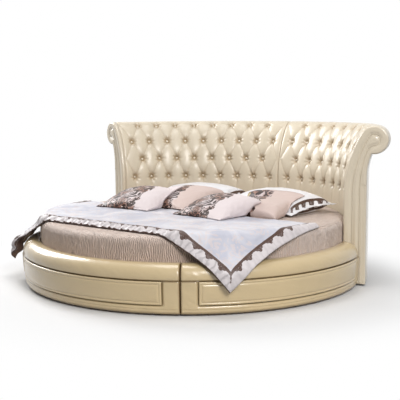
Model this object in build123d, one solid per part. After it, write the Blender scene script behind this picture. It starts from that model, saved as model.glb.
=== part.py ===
from build123d import *

import os
from math import acos, asin, atan2, cos, degrees, hypot, pi, radians, sin, sqrt

# Round upholstered bed, in millimetres, +Z up. The origin is on the floor under the middle of
# the mattress. The foot of the bed is on the -Y side and the headboard on the +Y side. Angles
# round the bed are in degrees from the foot, positive towards +X.

# Fits shared by many pieces
seat_gap = 0.3
seam_gap = 3.0
cut_overrun = 20.0

# Mattress and its fitted cover
mattress_radius = 1100.0
mattress_depth = 250.0
mattress_edge_radius = 48.0
fitted_cover_thickness = 3.0
fitted_cover_hem = 70.0

# Slatted base
deck_height = 190.0
ledge_width = 46.0
ledge_depth = 40.0
slat_width = 90.0
slat_thickness = 20.0
slat_pitch = 150.0
slat_end_gap = 6.0
beam_width = 60.0
beam_depth = 60.0
leg_side = 56.0
leg_spread = 560.0
leg_plate_side = 90.0
leg_plate_thickness = 4.0
leg_chamfer = 6.0
glide_radius = 24.0
glide_height = 14.0
glide_chamfer = 3.0
rim_glide_shares = (-0.4, 0.0, 0.4)
hanger_thickness = 3.0
hanger_flange = 22.0
hanger_height = 52.0

# Segments round the bed: three rails and two headboard halves
segment_count = 5
segment_angle = 360 / segment_count

# Rail box, glued from sheets
mattress_gap = 2.0
rail_lip_thickness = 7.7
rail_box_width = 88.0
rail_box_top = 258.0
rail_sheet = 18.0
rail_end_block = 30.0

# Rail upholstery
rail_height = 314.0
rail_roll_radius = 78.0
rail_lip_drop = 6.0
rail_lip_depth = 90.0
rail_foam_foot = 11.0
rail_foam_top = 27.0
rail_floor_gap = 12.0
rail_foot_round = 8.0
rail_stitch_height = 216.0
rail_stitch_depth = 3.0
panel_low = 70.0
panel_high = 213.0
panel_proud = 13.0
panel_round = 9.0
panel_end_margin = 112.0

# Headboard outline, measured in a plane through the bed's axis
headboard_front_gap = 8.0
headboard_thickness = 156.0
flare_start_height = 634.0
flare_radius = 800.0
flare_angle = 32
scroll_radius = 96.0
back_flare_rise_share = 0.1575
back_flare_radius_share = 0.5

# Headboard frame
base_beam_width = 42.0
base_beam_height = 181.0
rib_thickness = 18.0
rib_count = 5
rib_end_margin = 60.0
stringer_side = 32.0
stringer_height = 560.0
scroll_core_radius = 50.0
back_cover_thickness = 8.0

# Deep buttoned pad
pad_thickness = 45.0
pad_bottom = 205.0
button_columns = 9
button_field_share = 0.975
button_rows = 4
low_button_height = 643.0
button_row_spacing = 159.5
button_pull_depth = 27.0
pleat_depth = 13.0
half_crown_depth = 6.0
crown_bulge = 3.5
hanging_pleat_depth = 9.0
pad_edge_depth = 14.0
pad_edge_width = 24.0
button_radius = 11.0
button_height = 7.0
button_seat_depth = 20.2
button_tip_radius = 2.0
button_tip_gap = 1.8
button_dome = 2.5
button_sides = 8

# Scrolled end facings of the headboard
facing_base = 18.0
facing_proud = 15.0
facing_groove = 4.0
facing_slot_inset = 16.0
facing_slot_top = 690.0
tongue_front_inset = 58.0
tongue_back_inset = 107.0
tongue_neck_shares = ((-0.33, -0.54), (-0.51, -0.85))

# Joining plates and bolts at the seams
plate_length = 130.0
plate_height = 36.0
plate_thickness = 4.0
bolt_spacing = 46.0
bolt_radius = 4.0
bolt_length = 26.0
bolt_head_radius = 7.0
bolt_head_height = 4.0
bolt_hole_gap = 0.3
plate_level_low = 55.0
plate_level_high = 112.0

# Duvet, cut square and laid across the foot half
duvet_side_overlap = 15.0
duvet_foot_inset = 155.0
duvet_head_edge = 40.0
duvet_thickness = 13.0
duvet_rim_gap = 2.0
duvet_rail_gap = 12.0
duvet_fold_span = 60
duvet_fold_depth = 15.0
duvet_stations = 7
duvet_slices = 14

# Pillows, when plump
white_pillow_width = 740.0
white_pillow_height = 470.0
white_pillow_thickness = 175.0
satin_pillow_width = 450.0
satin_pillow_height = 450.0
satin_pillow_thickness = 165.0
print_cushion_width = 440.0
print_cushion_height = 430.0
print_cushion_thickness = 150.0
pillow_edge = 8.0
pillow_side_draw = 22.0

# Pillow row from back to front: size, then the place of its middle as shares of the mattress
# radius and of the mattress depth, its turn about the vertical and its tilt, in degrees
white_pillow_size = (white_pillow_width, white_pillow_height, white_pillow_thickness)
satin_pillow_size = (satin_pillow_width, satin_pillow_height, satin_pillow_thickness)
print_cushion_size = (print_cushion_width, print_cushion_height, print_cushion_thickness)
pillow_row_shares = {
    "white_pillow_left": (white_pillow_size, (-0.350, 0.495, 0.36, 10, 6)),
    "white_pillow_right": (white_pillow_size, (0.357, 0.450, 0.28, -11, 6)),
    "satin_pillow_left": (satin_pillow_size, (-0.173, 0.055, 0.34, -3, 18)),
    "satin_pillow_right": (satin_pillow_size, (0.420, 0.173, 0.24, 5, 12)),
    "print_cushion_left": (print_cushion_size, (-0.504, 0.018, 0.25, 4, 12)),
    "print_cushion_right": (print_cushion_size, (0.250, -0.027, 0.27, -5, 14)),
}

# Sizes worked out from those above
duvet_half_width = mattress_radius + duvet_side_overlap
duvet_foot_edge = mattress_radius - duvet_foot_inset
slat_top = deck_height + slat_thickness
mattress_bottom = slat_top + seat_gap
mattress_top = mattress_bottom + mattress_depth
lip_radius = mattress_radius + mattress_gap
box_inner = lip_radius + rail_lip_thickness + seat_gap
box_outer = box_inner + rail_box_width
box_bottom = glide_height + seat_gap
ledge_outer = box_inner - seat_gap
ledge_inner = ledge_outer - ledge_width
rail_foot_radius = box_outer + seat_gap + rail_foam_foot
rail_bulge_radius = box_outer + seat_gap + rail_foam_top
rail_bulge_height = rail_height - rail_roll_radius
front_radius = mattress_radius + headboard_front_gap
back_radius = front_radius + headboard_thickness
back_flare_height = flare_start_height + back_flare_rise_share * flare_radius
back_flare_radius = back_flare_radius_share * flare_radius
flare_centre = (front_radius + flare_radius, flare_start_height)
scroll_reach = flare_radius - scroll_radius
scroll_centre = (
    flare_centre[0] - scroll_reach * cos(radians(flare_angle)),
    flare_centre[1] + scroll_reach * sin(radians(flare_angle)),
)
back_centre = (back_radius + back_flare_radius, back_flare_height)
headboard_top = scroll_centre[1] + scroll_radius


# Small helpers

def at(radius, angle, height=0):
    """Point at a radius from the bed's axis, at an angle from the foot."""
    return (radius * sin(radians(angle)), -radius * cos(radians(angle)), height)


def turned(shape, angle):
    """Shape made along +X, turned to an angle measured from the foot."""
    return Rot(0, 0, angle - 90) * shape


def swept_round(section, start, end):
    """Section in the (radius, height) plane swept round the bed from start to end."""
    return turned(revolve(Plane.XZ * section, Axis.Z, end - start), start)


def gap_angle(gap, radius):
    """Angle that a gap covers at a radius."""
    return degrees(gap / radius)


def box_between(low, high):
    """Box between two opposite corners."""
    size = [b - a for a, b in zip(low, high)]
    middle = [(a + b) / 2 for a, b in zip(low, high)]
    return Pos(*middle) * Box(*size)


def save(shape, name):
    """Write one sub-part."""
    export_step(shape, f"parts/{name}.step")


def group(solids):
    """Separate solids kept together as one sub-part."""
    return Compound(children=[solid for shape in solids for solid in shape.solids()])


def face_inside(path):
    """Flat face inside a closed path, with the path's edges kept as drawn."""
    return Face(Wire([edge for piece in path for edge in piece.edges()]))


def circles_meet(centre_a, radius_a, centre_b, radius_b):
    """Meeting point of two circles that lies on the right of the way from a to b."""
    span_x = centre_b[0] - centre_a[0]
    span_y = centre_b[1] - centre_a[1]
    span = hypot(span_x, span_y)
    along = (span**2 + radius_a**2 - radius_b**2) / (2 * span)
    aside = sqrt(radius_a**2 - along**2)
    return (
        centre_a[0] + (along * span_x + aside * span_y) / span,
        centre_a[1] + (along * span_y - aside * span_x) / span,
    )


def angle_from(centre, point):
    """Angle of a point seen from a centre, from the radius axis."""
    return degrees(atan2(point[1] - centre[1], point[0] - centre[0]))


# Mattress and fitted cover

def drum(radius, low, high, edge):
    """Half section of a drum with a rounded upper edge."""
    return make_face(
        Polyline((0, high), (0, low), (radius, low), (radius, high - edge))
        + CenterArc((radius - edge, high - edge), edge, 0, 90)
        + Line((radius - edge, high), (0, high))
    )


def make_mattress():
    """Round mattress inside its fitted cover."""
    inset = fitted_cover_thickness + seat_gap
    section = drum(
        mattress_radius - inset,
        mattress_bottom + inset,
        mattress_top - inset,
        mattress_edge_radius - inset,
    )
    return revolve(Plane.XZ * section, Axis.Z)


def make_fitted_cover():
    """Fitted cover: top, side and the hem that is drawn in under the mattress."""
    thick = fitted_cover_thickness
    outer = drum(mattress_radius, mattress_bottom, mattress_top, mattress_edge_radius)
    inner = drum(
        mattress_radius - thick,
        mattress_bottom + thick,
        mattress_top - thick,
        mattress_edge_radius - thick,
    )
    opening_radius = mattress_radius - fitted_cover_hem
    opening = make_face(
        Polyline(
            (0, mattress_bottom - cut_overrun),
            (opening_radius, mattress_bottom - cut_overrun),
            (opening_radius, mattress_bottom + thick),
            (0, mattress_bottom + thick),
            close=True,
        )
    )
    return revolve(Plane.XZ * (outer - inner - opening), Axis.Z)


# Slatted base

def make_ledge(start, end):
    """Curved batten on the inner wall of a segment, which carries the slat ends."""
    trim = gap_angle(seam_gap, ledge_outer)
    section = Pos(ledge_outer - ledge_width / 2, deck_height - ledge_depth / 2)
    return swept_round(section * Rectangle(ledge_width, ledge_depth), start + trim, end - trim)


def make_slats():
    """Row of slats cut to the round of the rails."""
    reach = box_inner - slat_end_gap
    rows = int(reach / slat_pitch)
    disc = Pos(0, 0, deck_height + slat_thickness / 2) * Cylinder(reach, slat_thickness)
    slats = []
    for row in range(-rows, rows + 1):
        strip = box_between(
            (-box_outer, row * slat_pitch - slat_width / 2, 0),
            (box_outer, row * slat_pitch + slat_width / 2, box_outer),
        )
        slats.append(disc & strip)
    return group(slats)


def flat_end_radius():
    """Distance of a flat bracket face that touches the hollow side of the ledge."""
    half_face = beam_width / 2 + hanger_thickness + hanger_flange
    return sqrt((ledge_inner - seat_gap) ** 2 - half_face**2)


def make_centre_beam():
    """Beam from foot to head that carries the slats at their middle."""
    end = flat_end_radius() - hanger_thickness - seat_gap
    return box_between(
        (-beam_width / 2, -end, deck_height - beam_depth), (beam_width / 2, end, deck_height)
    )


def make_cross_beam(side):
    """Beam from the centre beam to a side rail."""
    inner = beam_width / 2 + hanger_thickness + seat_gap
    outer = flat_end_radius() - hanger_thickness - seat_gap
    middle = side * (inner + outer) / 2
    return Pos(middle, 0, deck_height - beam_depth / 2) * Box(outer - inner, beam_width, beam_depth)


def make_hanger():
    """Bent steel saddle that holds a beam's end, with its back plate at the origin along +X."""
    inside = beam_width + 2 * seat_gap
    full = inside + 2 * hanger_thickness
    drop = beam_depth + seat_gap + hanger_thickness
    back = box_between(
        (-hanger_thickness, -full / 2 - hanger_flange, deck_height - drop),
        (0, full / 2 + hanger_flange, deck_height - drop + hanger_height),
    )
    shoe = box_between(
        (-hanger_thickness - hanger_height, -full / 2, deck_height - drop),
        (-hanger_thickness, full / 2, deck_height - drop + hanger_height),
    )
    floor_level = deck_height - drop + hanger_thickness
    hollow = box_between(
        (-hanger_thickness - hanger_height - cut_overrun, -inside / 2, floor_level),
        (-hanger_thickness, inside / 2, deck_height + cut_overrun),
    )
    return back + (shoe - hollow)


def make_hangers():
    """Saddles at the ends of the centre beam and of both cross beams."""
    hanger = make_hanger()
    face = flat_end_radius()
    outer = [Rot(0, 0, quarter * 90) * Pos(face, 0, 0) * hanger for quarter in range(4)]
    joint = Pos(-beam_width / 2 - seat_gap, 0, 0) * hanger
    inner = [Rot(0, 0, turn) * joint for turn in (0, 180)]
    return group(outer + inner)


def leg_places():
    """Where the legs stand under the beams."""
    return {
        "centre": (0, 0),
        "foot": (0, -leg_spread),
        "head": (0, leg_spread),
        "left": (-leg_spread, 0),
        "right": (leg_spread, 0),
    }


def make_leg(place):
    """Square wooden leg under a beam."""
    low = glide_height + seat_gap
    high = deck_height - beam_depth - leg_plate_thickness - 2 * seat_gap
    leg = Pos(place[0], place[1], (low + high) / 2) * Box(leg_side, leg_side, high - low)
    return chamfer(leg.edges().filter_by(Axis.Z), leg_chamfer)


def make_leg_plates():
    """Steel plates between the legs and the beams."""
    level = deck_height - beam_depth - seat_gap - leg_plate_thickness / 2
    plate = Box(beam_width, leg_plate_side, leg_plate_thickness)
    plates = []
    for name, place in leg_places().items():
        turn = 90 if name in ("left", "right") else 0
        plates.append(Pos(place[0], place[1], level) * Rot(0, 0, turn) * plate)
    return group(plates)


def make_glide():
    """Moulded glide with its underside on the floor."""
    glide = Pos(0, 0, glide_height / 2) * Cylinder(glide_radius, glide_height)
    return chamfer(glide.edges().sort_by(Axis.Z)[0], glide_chamfer)


def make_leg_glides():
    """Glides under the legs."""
    glide = make_glide()
    return group([Pos(x, y, 0) * glide for x, y in leg_places().values()])


def make_rim_glides():
    """Glides under the rails and under the headboard."""
    glide = make_glide()
    middle_radius = (box_inner + box_outer) / 2
    places = []
    for segment in range(segment_count):
        middle = segment * segment_angle
        for share in rim_glide_shares:
            places.append(at(middle_radius, middle + share * segment_angle, 0))
    return group([Pos(*place) * glide for place in places])


# Rails

def make_rail_box(start, end):
    """Rail box: inner and outer walls, a top and a block at each end, glued together."""
    trim = gap_angle(seam_gap / 2, box_outer)
    outline = Pos((box_inner + box_outer) / 2, (box_bottom + rail_box_top) / 2) * Rectangle(
        rail_box_width, rail_box_top - box_bottom
    )
    shell = swept_round(outline, start + trim, end - trim)
    hollow_low = box_bottom - cut_overrun
    hollow_high = rail_box_top - rail_sheet
    hollow = Pos((box_inner + box_outer) / 2, (hollow_low + hollow_high) / 2) * Rectangle(
        rail_box_width - 2 * rail_sheet, hollow_high - hollow_low
    )
    block = trim + gap_angle(rail_end_block, box_outer)
    glide_shelf = swept_round(
        Pos((box_inner + box_outer) / 2, box_bottom + rail_sheet / 2)
        * Rectangle(rail_box_width - 2 * rail_sheet, rail_sheet),
        start + block,
        end - block,
    )
    return shell - swept_round(hollow, start + block, end - block) + glide_shelf


def rail_face_radius(height):
    """Radius of the leaning outer face of the rail at a height."""
    rise = (height - rail_floor_gap) / (rail_bulge_height - rail_floor_gap)
    return rail_foot_radius + (rail_bulge_radius - rail_foot_radius) * rise


def make_rail_cover(start, end):
    """Padded leather cover over the rail box: outer face, rolled top and inner lip."""
    trim = gap_angle(seam_gap / 2, rail_bulge_radius)
    inner_face = box_outer + seat_gap
    crest_radius = rail_bulge_radius - rail_roll_radius
    notch_low = rail_stitch_height - rail_stitch_depth
    notch_high = rail_stitch_height + rail_stitch_depth
    notch_radius = rail_face_radius(rail_stitch_height) - rail_stitch_depth
    foot_radius = rail_face_radius(rail_floor_gap + rail_foot_round)
    outside = (
        Line((inner_face, rail_floor_gap), (foot_radius - rail_foot_round, rail_floor_gap))
        + Line(
            (foot_radius - rail_foot_round, rail_floor_gap),
            (foot_radius, rail_floor_gap + rail_foot_round),
        )
        + Polyline(
            (foot_radius, rail_floor_gap + rail_foot_round),
            (rail_face_radius(notch_low), notch_low),
            (notch_radius, rail_stitch_height),
            (rail_face_radius(notch_high), notch_high),
            (rail_bulge_radius, rail_bulge_height),
        )
        + CenterArc((crest_radius, rail_bulge_height), rail_roll_radius, 0, 90)
        + TangentArc(
            (crest_radius, rail_height), (lip_radius, rail_height - rail_lip_drop), tangent=(-1, 0)
        )
    )
    inside = Polyline(
        (lip_radius, rail_height - rail_lip_drop),
        (lip_radius, rail_height - rail_lip_depth),
        (lip_radius + rail_lip_thickness, rail_height - rail_lip_depth),
        (lip_radius + rail_lip_thickness, rail_box_top + seat_gap),
        (inner_face, rail_box_top + seat_gap),
        (inner_face, rail_floor_gap),
    )
    return swept_round(make_face(outside + inside), start + trim, end - trim)


def make_rail_panel(start, end):
    """Raised padded panel on the outer face of a rail."""
    margin = gap_angle(panel_end_margin, rail_bulge_radius)
    low = rail_face_radius(panel_low) + seat_gap
    high = rail_face_radius(panel_high) + seat_gap
    section = make_face(
        Polyline(
            (low, panel_low),
            (low + panel_proud, panel_low),
            (high + panel_proud, panel_high),
            (high, panel_high),
            close=True,
        )
    )
    panel = swept_round(section, start + margin, end - margin)
    middle = (start + end) / 2
    front = panel.faces().sort_by(lambda face: Vector(*at(1, middle)).dot(face.center()))[-1]
    return fillet(front.edges(), panel_round)


# Headboard outline

def crease_point(scroll, back_flare):
    """Where the underside of the scroll meets the back."""
    return circles_meet(scroll_centre, scroll, back_centre, back_flare)


def crease_angle():
    """Angle of the crease seen from the scroll's centre, counted down from the front."""
    return angle_from(scroll_centre, crease_point(scroll_radius, back_flare_radius))


def headboard_region(front_inset, back_inset, bottom):
    """Section of the headboard, set in from its front and from its back."""
    front_line = front_radius + front_inset
    back_line = back_radius - back_inset
    scroll = scroll_radius - front_inset
    back_flare = back_flare_radius + back_inset
    crease = crease_point(scroll, back_flare)
    start = 180 - flare_angle
    half = (start - angle_from(scroll_centre, crease)) / 2
    back_angle = angle_from(back_centre, crease)
    return make_face(
        Line((front_line, bottom), (front_line, flare_start_height))
        + CenterArc(flare_centre, flare_radius - front_inset, 180, -flare_angle)
        + CenterArc(scroll_centre, scroll, start, -half)
        + CenterArc(scroll_centre, scroll, start - half, -half)
        + CenterArc(back_centre, back_flare, back_angle, 180 - back_angle)
        + Polyline((back_line, back_flare_height), (back_line, bottom), (front_line, bottom))
    )


def half_limits():
    """Angles from the head seam at which a headboard half starts and ends."""
    start = gap_angle(seam_gap / 2, front_radius)
    facing = facing_base + facing_proud + 3 * seat_gap
    return start, segment_angle - gap_angle(facing, front_radius)


def half_sweep(section, start, end):
    """Section swept between two angles counted from the head seam towards +X."""
    return swept_round(section, 180 - end, 180 - start)


def on_side(shape, side):
    """Piece of the +X half as it is, or mirrored to the other half."""
    return shape if side == "right" else mirror(shape, about=Plane.YZ)


# Headboard frame

def make_back_cover():
    """Plain leather cover on the back of a headboard half."""
    whole = headboard_region(pad_thickness, 0, box_bottom)
    inside = headboard_region(pad_thickness, back_cover_thickness, box_bottom - cut_overrun)
    scroll = Pos(*scroll_centre) * Circle(scroll_radius + seat_gap)
    return half_sweep(whole - inside - scroll, *half_limits())


def make_base_beam():
    """Curved beam at the foot of a headboard half, in line with the rail boxes."""
    section = Pos(box_inner + base_beam_width / 2, box_bottom + base_beam_height / 2)
    beam = section * Rectangle(base_beam_width, base_beam_height)
    return half_sweep(beam, *half_limits())


def stringer_radius():
    """Radius of the stringer's middle, just inside the back cover."""
    return back_radius - back_cover_thickness - seat_gap - stringer_side / 2


def make_stringer():
    """Curved batten let into the ribs behind the pad."""
    section = Pos(stringer_radius(), stringer_height) * Rectangle(stringer_side, stringer_side)
    return half_sweep(section, *half_limits())


def make_scroll_core():
    """Round former inside the scroll."""
    return half_sweep(Pos(*scroll_centre) * Circle(scroll_core_radius), *half_limits())


def rib_section():
    """Plywood former: slopes up behind the pad and carries the scroll core in a round seat."""
    region = headboard_region(
        pad_thickness + seat_gap, back_cover_thickness + seat_gap, box_bottom
    )
    core = Pos(*scroll_centre) * Circle(scroll_core_radius + seat_gap)
    reach = scroll_radius + cut_overrun
    quarter = Pos(reach / 2 - seat_gap, reach / 2 - seat_gap) * Rectangle(reach, reach)
    crease = crease_angle()
    wrapped = [
        Pos(*scroll_centre) * Rot(0, 0, turn) * quarter
        for turn in (crease, crease + 90, 90 - flare_angle)
    ]
    beam = Pos(box_inner + base_beam_width / 2, box_bottom + base_beam_height / 2) * Rectangle(
        base_beam_width + 2 * seat_gap, base_beam_height + 2 * seat_gap
    )
    notch = Pos(stringer_radius(), stringer_height) * Rectangle(
        stringer_side + 2 * seat_gap, stringer_side + 2 * seat_gap
    )
    parts = (region - core - wrapped - beam - notch).faces()
    return parts.sort_by(lambda face: face.area)[-1]


def make_ribs():
    """Formers of a headboard half, evenly spaced and notched for the stringer."""
    start, end = half_limits()
    margin = gap_angle(rib_end_margin, front_radius)
    step = (end - start - 2 * margin) / (rib_count - 1)
    rib = extrude(Plane.XZ * rib_section(), rib_thickness / 2, both=True)
    return group([turned(rib, 180 - start - margin - k * step) for k in range(rib_count)])


# Deep buttoned pad

def front_frame(run):
    """Point and outward direction on the plain front, at a run along it from the flare's start."""
    flare_run = flare_radius * radians(flare_angle)
    if run <= 0:
        return (front_radius, flare_start_height + run), (-1.0, 0.0)
    if run <= flare_run:
        turn = run / flare_radius
        centre, radius = flare_centre, flare_radius
    else:
        turn = radians(flare_angle) + (run - flare_run) / scroll_radius
        centre, radius = scroll_centre, scroll_radius
    away = (-cos(turn), sin(turn))
    return (centre[0] + radius * away[0], centre[1] + radius * away[1]), away


def front_point(run, depth):
    """Point on the front, pressed in by a depth."""
    place, away = front_frame(run)
    return (place[0] - depth * away[0], place[1] - depth * away[1])


def level_run(level):
    """Run of a level: even levels are button rows, odd levels lie between two rows."""
    lowest = flare_radius * asin((low_button_height - flare_start_height) / flare_radius)
    return lowest + level * button_row_spacing / 2


def pressed_depth(level, quarter):
    """Depth of the tufting at a level and at a quarter of a button column."""
    top_level = 2 * button_rows - 2
    column = quarter % 4
    if level < 0:
        return {2: hanging_pleat_depth, 0: 0.0}.get(column, hanging_pleat_depth / 4)
    if column % 2 == 1:
        between = level % 2 == 1 and level < top_level
        return pleat_depth if between else half_crown_depth
    if level > top_level:
        return half_crown_depth if column == 0 else 0.0
    if level % 2 == 1:
        return half_crown_depth
    buttoned = (level % 4 == 0) == (column == 2)
    return button_pull_depth if buttoned else 0.0


def pad_section(depths):
    """Section of the pad, with one depth for each level from the lowest to the highest."""
    levels = range(-1, 2 * button_rows)
    crease = crease_angle()
    core = scroll_core_radius + seat_gap
    bottom = front_point(pad_bottom - flare_start_height, depths[0])
    inner_bottom = (front_radius + pad_thickness, pad_bottom)
    places = [front_point(level_run(level), depth) for level, depth in zip(levels, depths)]
    path = [Line((bottom[0], pad_bottom), places[0])]
    for k in range(len(places) - 1):
        middle_run = level_run(levels[k] + 0.5)
        middle_depth = (depths[k] + depths[k + 1]) / 2 - crown_bulge
        middle = front_point(middle_run, middle_depth)
        path.append(ThreePointArc(places[k], middle, places[k + 1]))
    last = angle_from(scroll_centre, places[-1])
    half = (last - crease) / 2
    quarter_points = [
        (
            scroll_centre[0] + scroll_radius * cos(radians(last - share * half)),
            scroll_centre[1] + scroll_radius * sin(radians(last - share * half)),
        )
        for share in (0.5, 1.0, 1.5, 2.0)
    ]
    path.append(ThreePointArc(places[-1], quarter_points[0], quarter_points[1]))
    path.append(ThreePointArc(quarter_points[1], quarter_points[2], quarter_points[3]))
    start = 180 - flare_angle
    core_half = (start - crease) / 2
    core_end = CenterArc(scroll_centre, core, crease, core_half)
    core_start = CenterArc(scroll_centre, core, crease + core_half, core_half)
    path.append(Line(quarter_points[3], core_end @ 0))
    path += [core_end, core_start]
    sloped = CenterArc(flare_centre, flare_radius - pad_thickness, 180 - flare_angle, flare_angle)
    path.append(Line(core_start @ 1, sloped @ 0))
    path.append(sloped)
    path.append(Polyline(sloped @ 1, inner_bottom, (bottom[0], pad_bottom)))
    return face_inside(path)


def column_angle(position):
    """Angle from the head seam of a position counted in button columns."""
    sweep = half_limits()[1]
    margin = sweep * (1 - button_field_share) / 2
    return margin + position * sweep * button_field_share / button_columns


def pad_stations():
    """Angles from the head seam and tufting depths of the pad's sections."""
    start, end = half_limits()
    level_count = 2 * button_rows + 1
    edge = gap_angle(pad_edge_width, front_radius)
    rolled = [(0.0, pad_edge_depth), (edge / 3, pad_edge_depth / 4), (edge, 0.0)]
    stations = [(start + turn, [depth] * level_count) for turn, depth in rolled]
    for quarter in range(4 * button_columns + 1):
        angle = column_angle(quarter / 4)
        if start + edge < angle < end - edge:
            levels = range(-1, 2 * button_rows)
            stations.append((angle, [pressed_depth(level, quarter) for level in levels]))
    return stations + [(end - turn, [depth] * level_count) for turn, depth in reversed(rolled)]


def make_pad():
    """Deep buttoned pad of a headboard half, lofted through its radial sections."""
    sections = [
        turned(Plane.XZ * pad_section(depths), 180 - angle) for angle, depths in pad_stations()
    ]
    return loft(sections, ruled=True)


def button_places():
    """Frames of a half's buttons: origin on the seat, +Z out of the pad."""
    places = []
    for row in range(button_rows):
        run = level_run(2 * row)
        away = front_frame(run)[1]
        seat = front_point(run, button_seat_depth)
        lean = degrees(atan2(away[1], -away[0]))
        shift = 0.5 if row % 2 == 0 else 1.0
        for column in range(button_columns - row % 2):
            angle = 180 - column_angle(column + shift)
            places.append(turned(Pos(seat[0], 0, seat[1]) * Rot(0, lean - 90, 0), angle))
    return places


def make_buttons():
    """Covered buttons of a headboard half, each with a tapered back that reaches into its pit."""
    blank = RegularPolygon(button_radius, button_sides, major_radius=True)
    crown = RegularPolygon(button_radius - button_dome, button_sides, major_radius=True)
    tip = RegularPolygon(button_tip_radius, button_sides, major_radius=True)
    rim = button_height - button_dome
    reach = button_pull_depth - button_seat_depth - button_tip_gap
    button = extrude(blank, rim)
    button += loft([Pos(0, 0, rim) * blank, Pos(0, 0, button_height) * crown])
    button += loft([Pos(0, 0, -reach) * tip, blank])
    return group([place * button for place in button_places()])


# Scrolled end facings

def facing_tongue(grow):
    """Band that rises up the facing and ends in the eye of the scroll, grown by a margin."""
    left = front_radius + tongue_front_inset - grow
    right = front_radius + tongue_back_inset + grow
    eye = scroll_radius - tongue_front_inset + grow
    start = 180 - flare_angle
    half = (start + 90) / 2
    first = CenterArc(scroll_centre, eye, start, -half)
    second = CenterArc(scroll_centre, eye, start - half, -half)
    tuck, neck = [
        (
            scroll_centre[0] + across * scroll_radius + grow * sin(radians(-across * 90)),
            scroll_centre[1] + along * scroll_radius - grow * cos(radians(-across * 90)),
        )
        for across, along in tongue_neck_shares
    ]
    back = TangentArc((right, flare_start_height), neck, tangent=(0, 1))
    path = [
        Line((left, box_bottom - cut_overrun), (left, flare_start_height)),
        CenterArc(flare_centre, flare_radius - tongue_front_inset + grow, 180, -flare_angle),
        first,
        second,
        ThreePointArc(second @ 1, tuck, neck),
        back,
        Polyline(
            (right, flare_start_height),
            (right, box_bottom - cut_overrun),
            (left, box_bottom - cut_overrun),
        ),
    ]
    return face_inside(path)


def facing_outline():
    """Outline of the facing, stepped back at its foot to clear the ledge."""
    step = Pos(box_inner - cut_overrun / 2, pad_bottom / 2) * Rectangle(cut_overrun, pad_bottom)
    return headboard_region(0, 0, box_bottom) - step


def make_facing():
    """Facing at the outer end of a headboard half: a padded tongue inside a padded surround."""
    back_angle = half_limits()[1] + gap_angle(seat_gap, front_radius)
    front_angle = segment_angle - gap_angle(facing_proud + seat_gap, front_radius)
    outline = facing_outline()
    slot_high = facing_slot_top - box_bottom
    slot = Pos(back_radius - facing_slot_inset, box_bottom + slot_high / 2)
    slot *= Rectangle(facing_groove, slot_high + cut_overrun)
    surround = outline - facing_tongue(facing_groove) - slot
    tongue = outline & facing_tongue(0)
    behind = box_between((0, 0, 0), (scroll_reach + back_radius, back_radius, 2 * headboard_top))
    facing = extrude(Plane.XZ * outline, -facing_base - cut_overrun)
    facing -= Rot(0, 0, front_angle - back_angle) * behind
    for band in (surround, tongue):
        for face in band.faces():
            raised = extrude(Plane.XZ * face, facing_proud + facing_base / 2)
            facing += Pos(0, facing_base / 2, 0) * raised
    return turned(facing, 180 - front_angle)


# Joining plates and bolts

def seam_angles():
    """Middles of the seams between segments, past the facings at the headboard's ends."""
    facing = facing_base + facing_proud
    shift = gap_angle(facing / 2, front_radius)
    side = 1.5 * segment_angle
    return (segment_angle / 2, side + shift, 180, -side - shift, -segment_angle / 2)


def bolt_frames():
    """Frames of the joining bolts: origin on the inner wall, +Z outwards."""
    step = gap_angle(bolt_spacing, box_inner)
    frames = []
    for seam in seam_angles():
        for level in (plate_level_low, plate_level_high):
            for side in (-1, 1):
                angle = seam + side * step
                frames.append(Rot(0, 0, angle - 90) * Pos(box_inner, 0, level) * Rot(0, 90, 0))
    return frames


def bolt_holes():
    """Clearance holes for all joining bolts."""
    hole = Cylinder(bolt_radius + bolt_hole_gap, 2 * bolt_length)
    return group([frame * hole for frame in bolt_frames()])


def make_joining_plates():
    """Curved steel plates that bridge the seams inside the bed."""
    half = gap_angle(plate_length / 2, box_inner)
    radius = box_inner - seat_gap - plate_thickness / 2
    plates = []
    for seam in seam_angles():
        for level in (plate_level_low, plate_level_high):
            section = Pos(radius, level) * Rectangle(plate_thickness, plate_height)
            plates.append(swept_round(section, seam - half, seam + half))
    return group([plate - bolt_holes() for plate in plates])


def make_joining_bolts():
    """Bolts through the joining plates."""
    under_head = -plate_thickness - 2 * seat_gap
    shank = Pos(0, 0, under_head + bolt_length / 2) * Cylinder(bolt_radius, bolt_length)
    hexagon = RegularPolygon(bolt_head_radius, 6, major_radius=True)
    head = Pos(0, 0, under_head - bolt_head_height) * extrude(hexagon, bolt_head_height)
    return group([frame * (shank + head) for frame in bolt_frames()])


# Duvet

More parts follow.
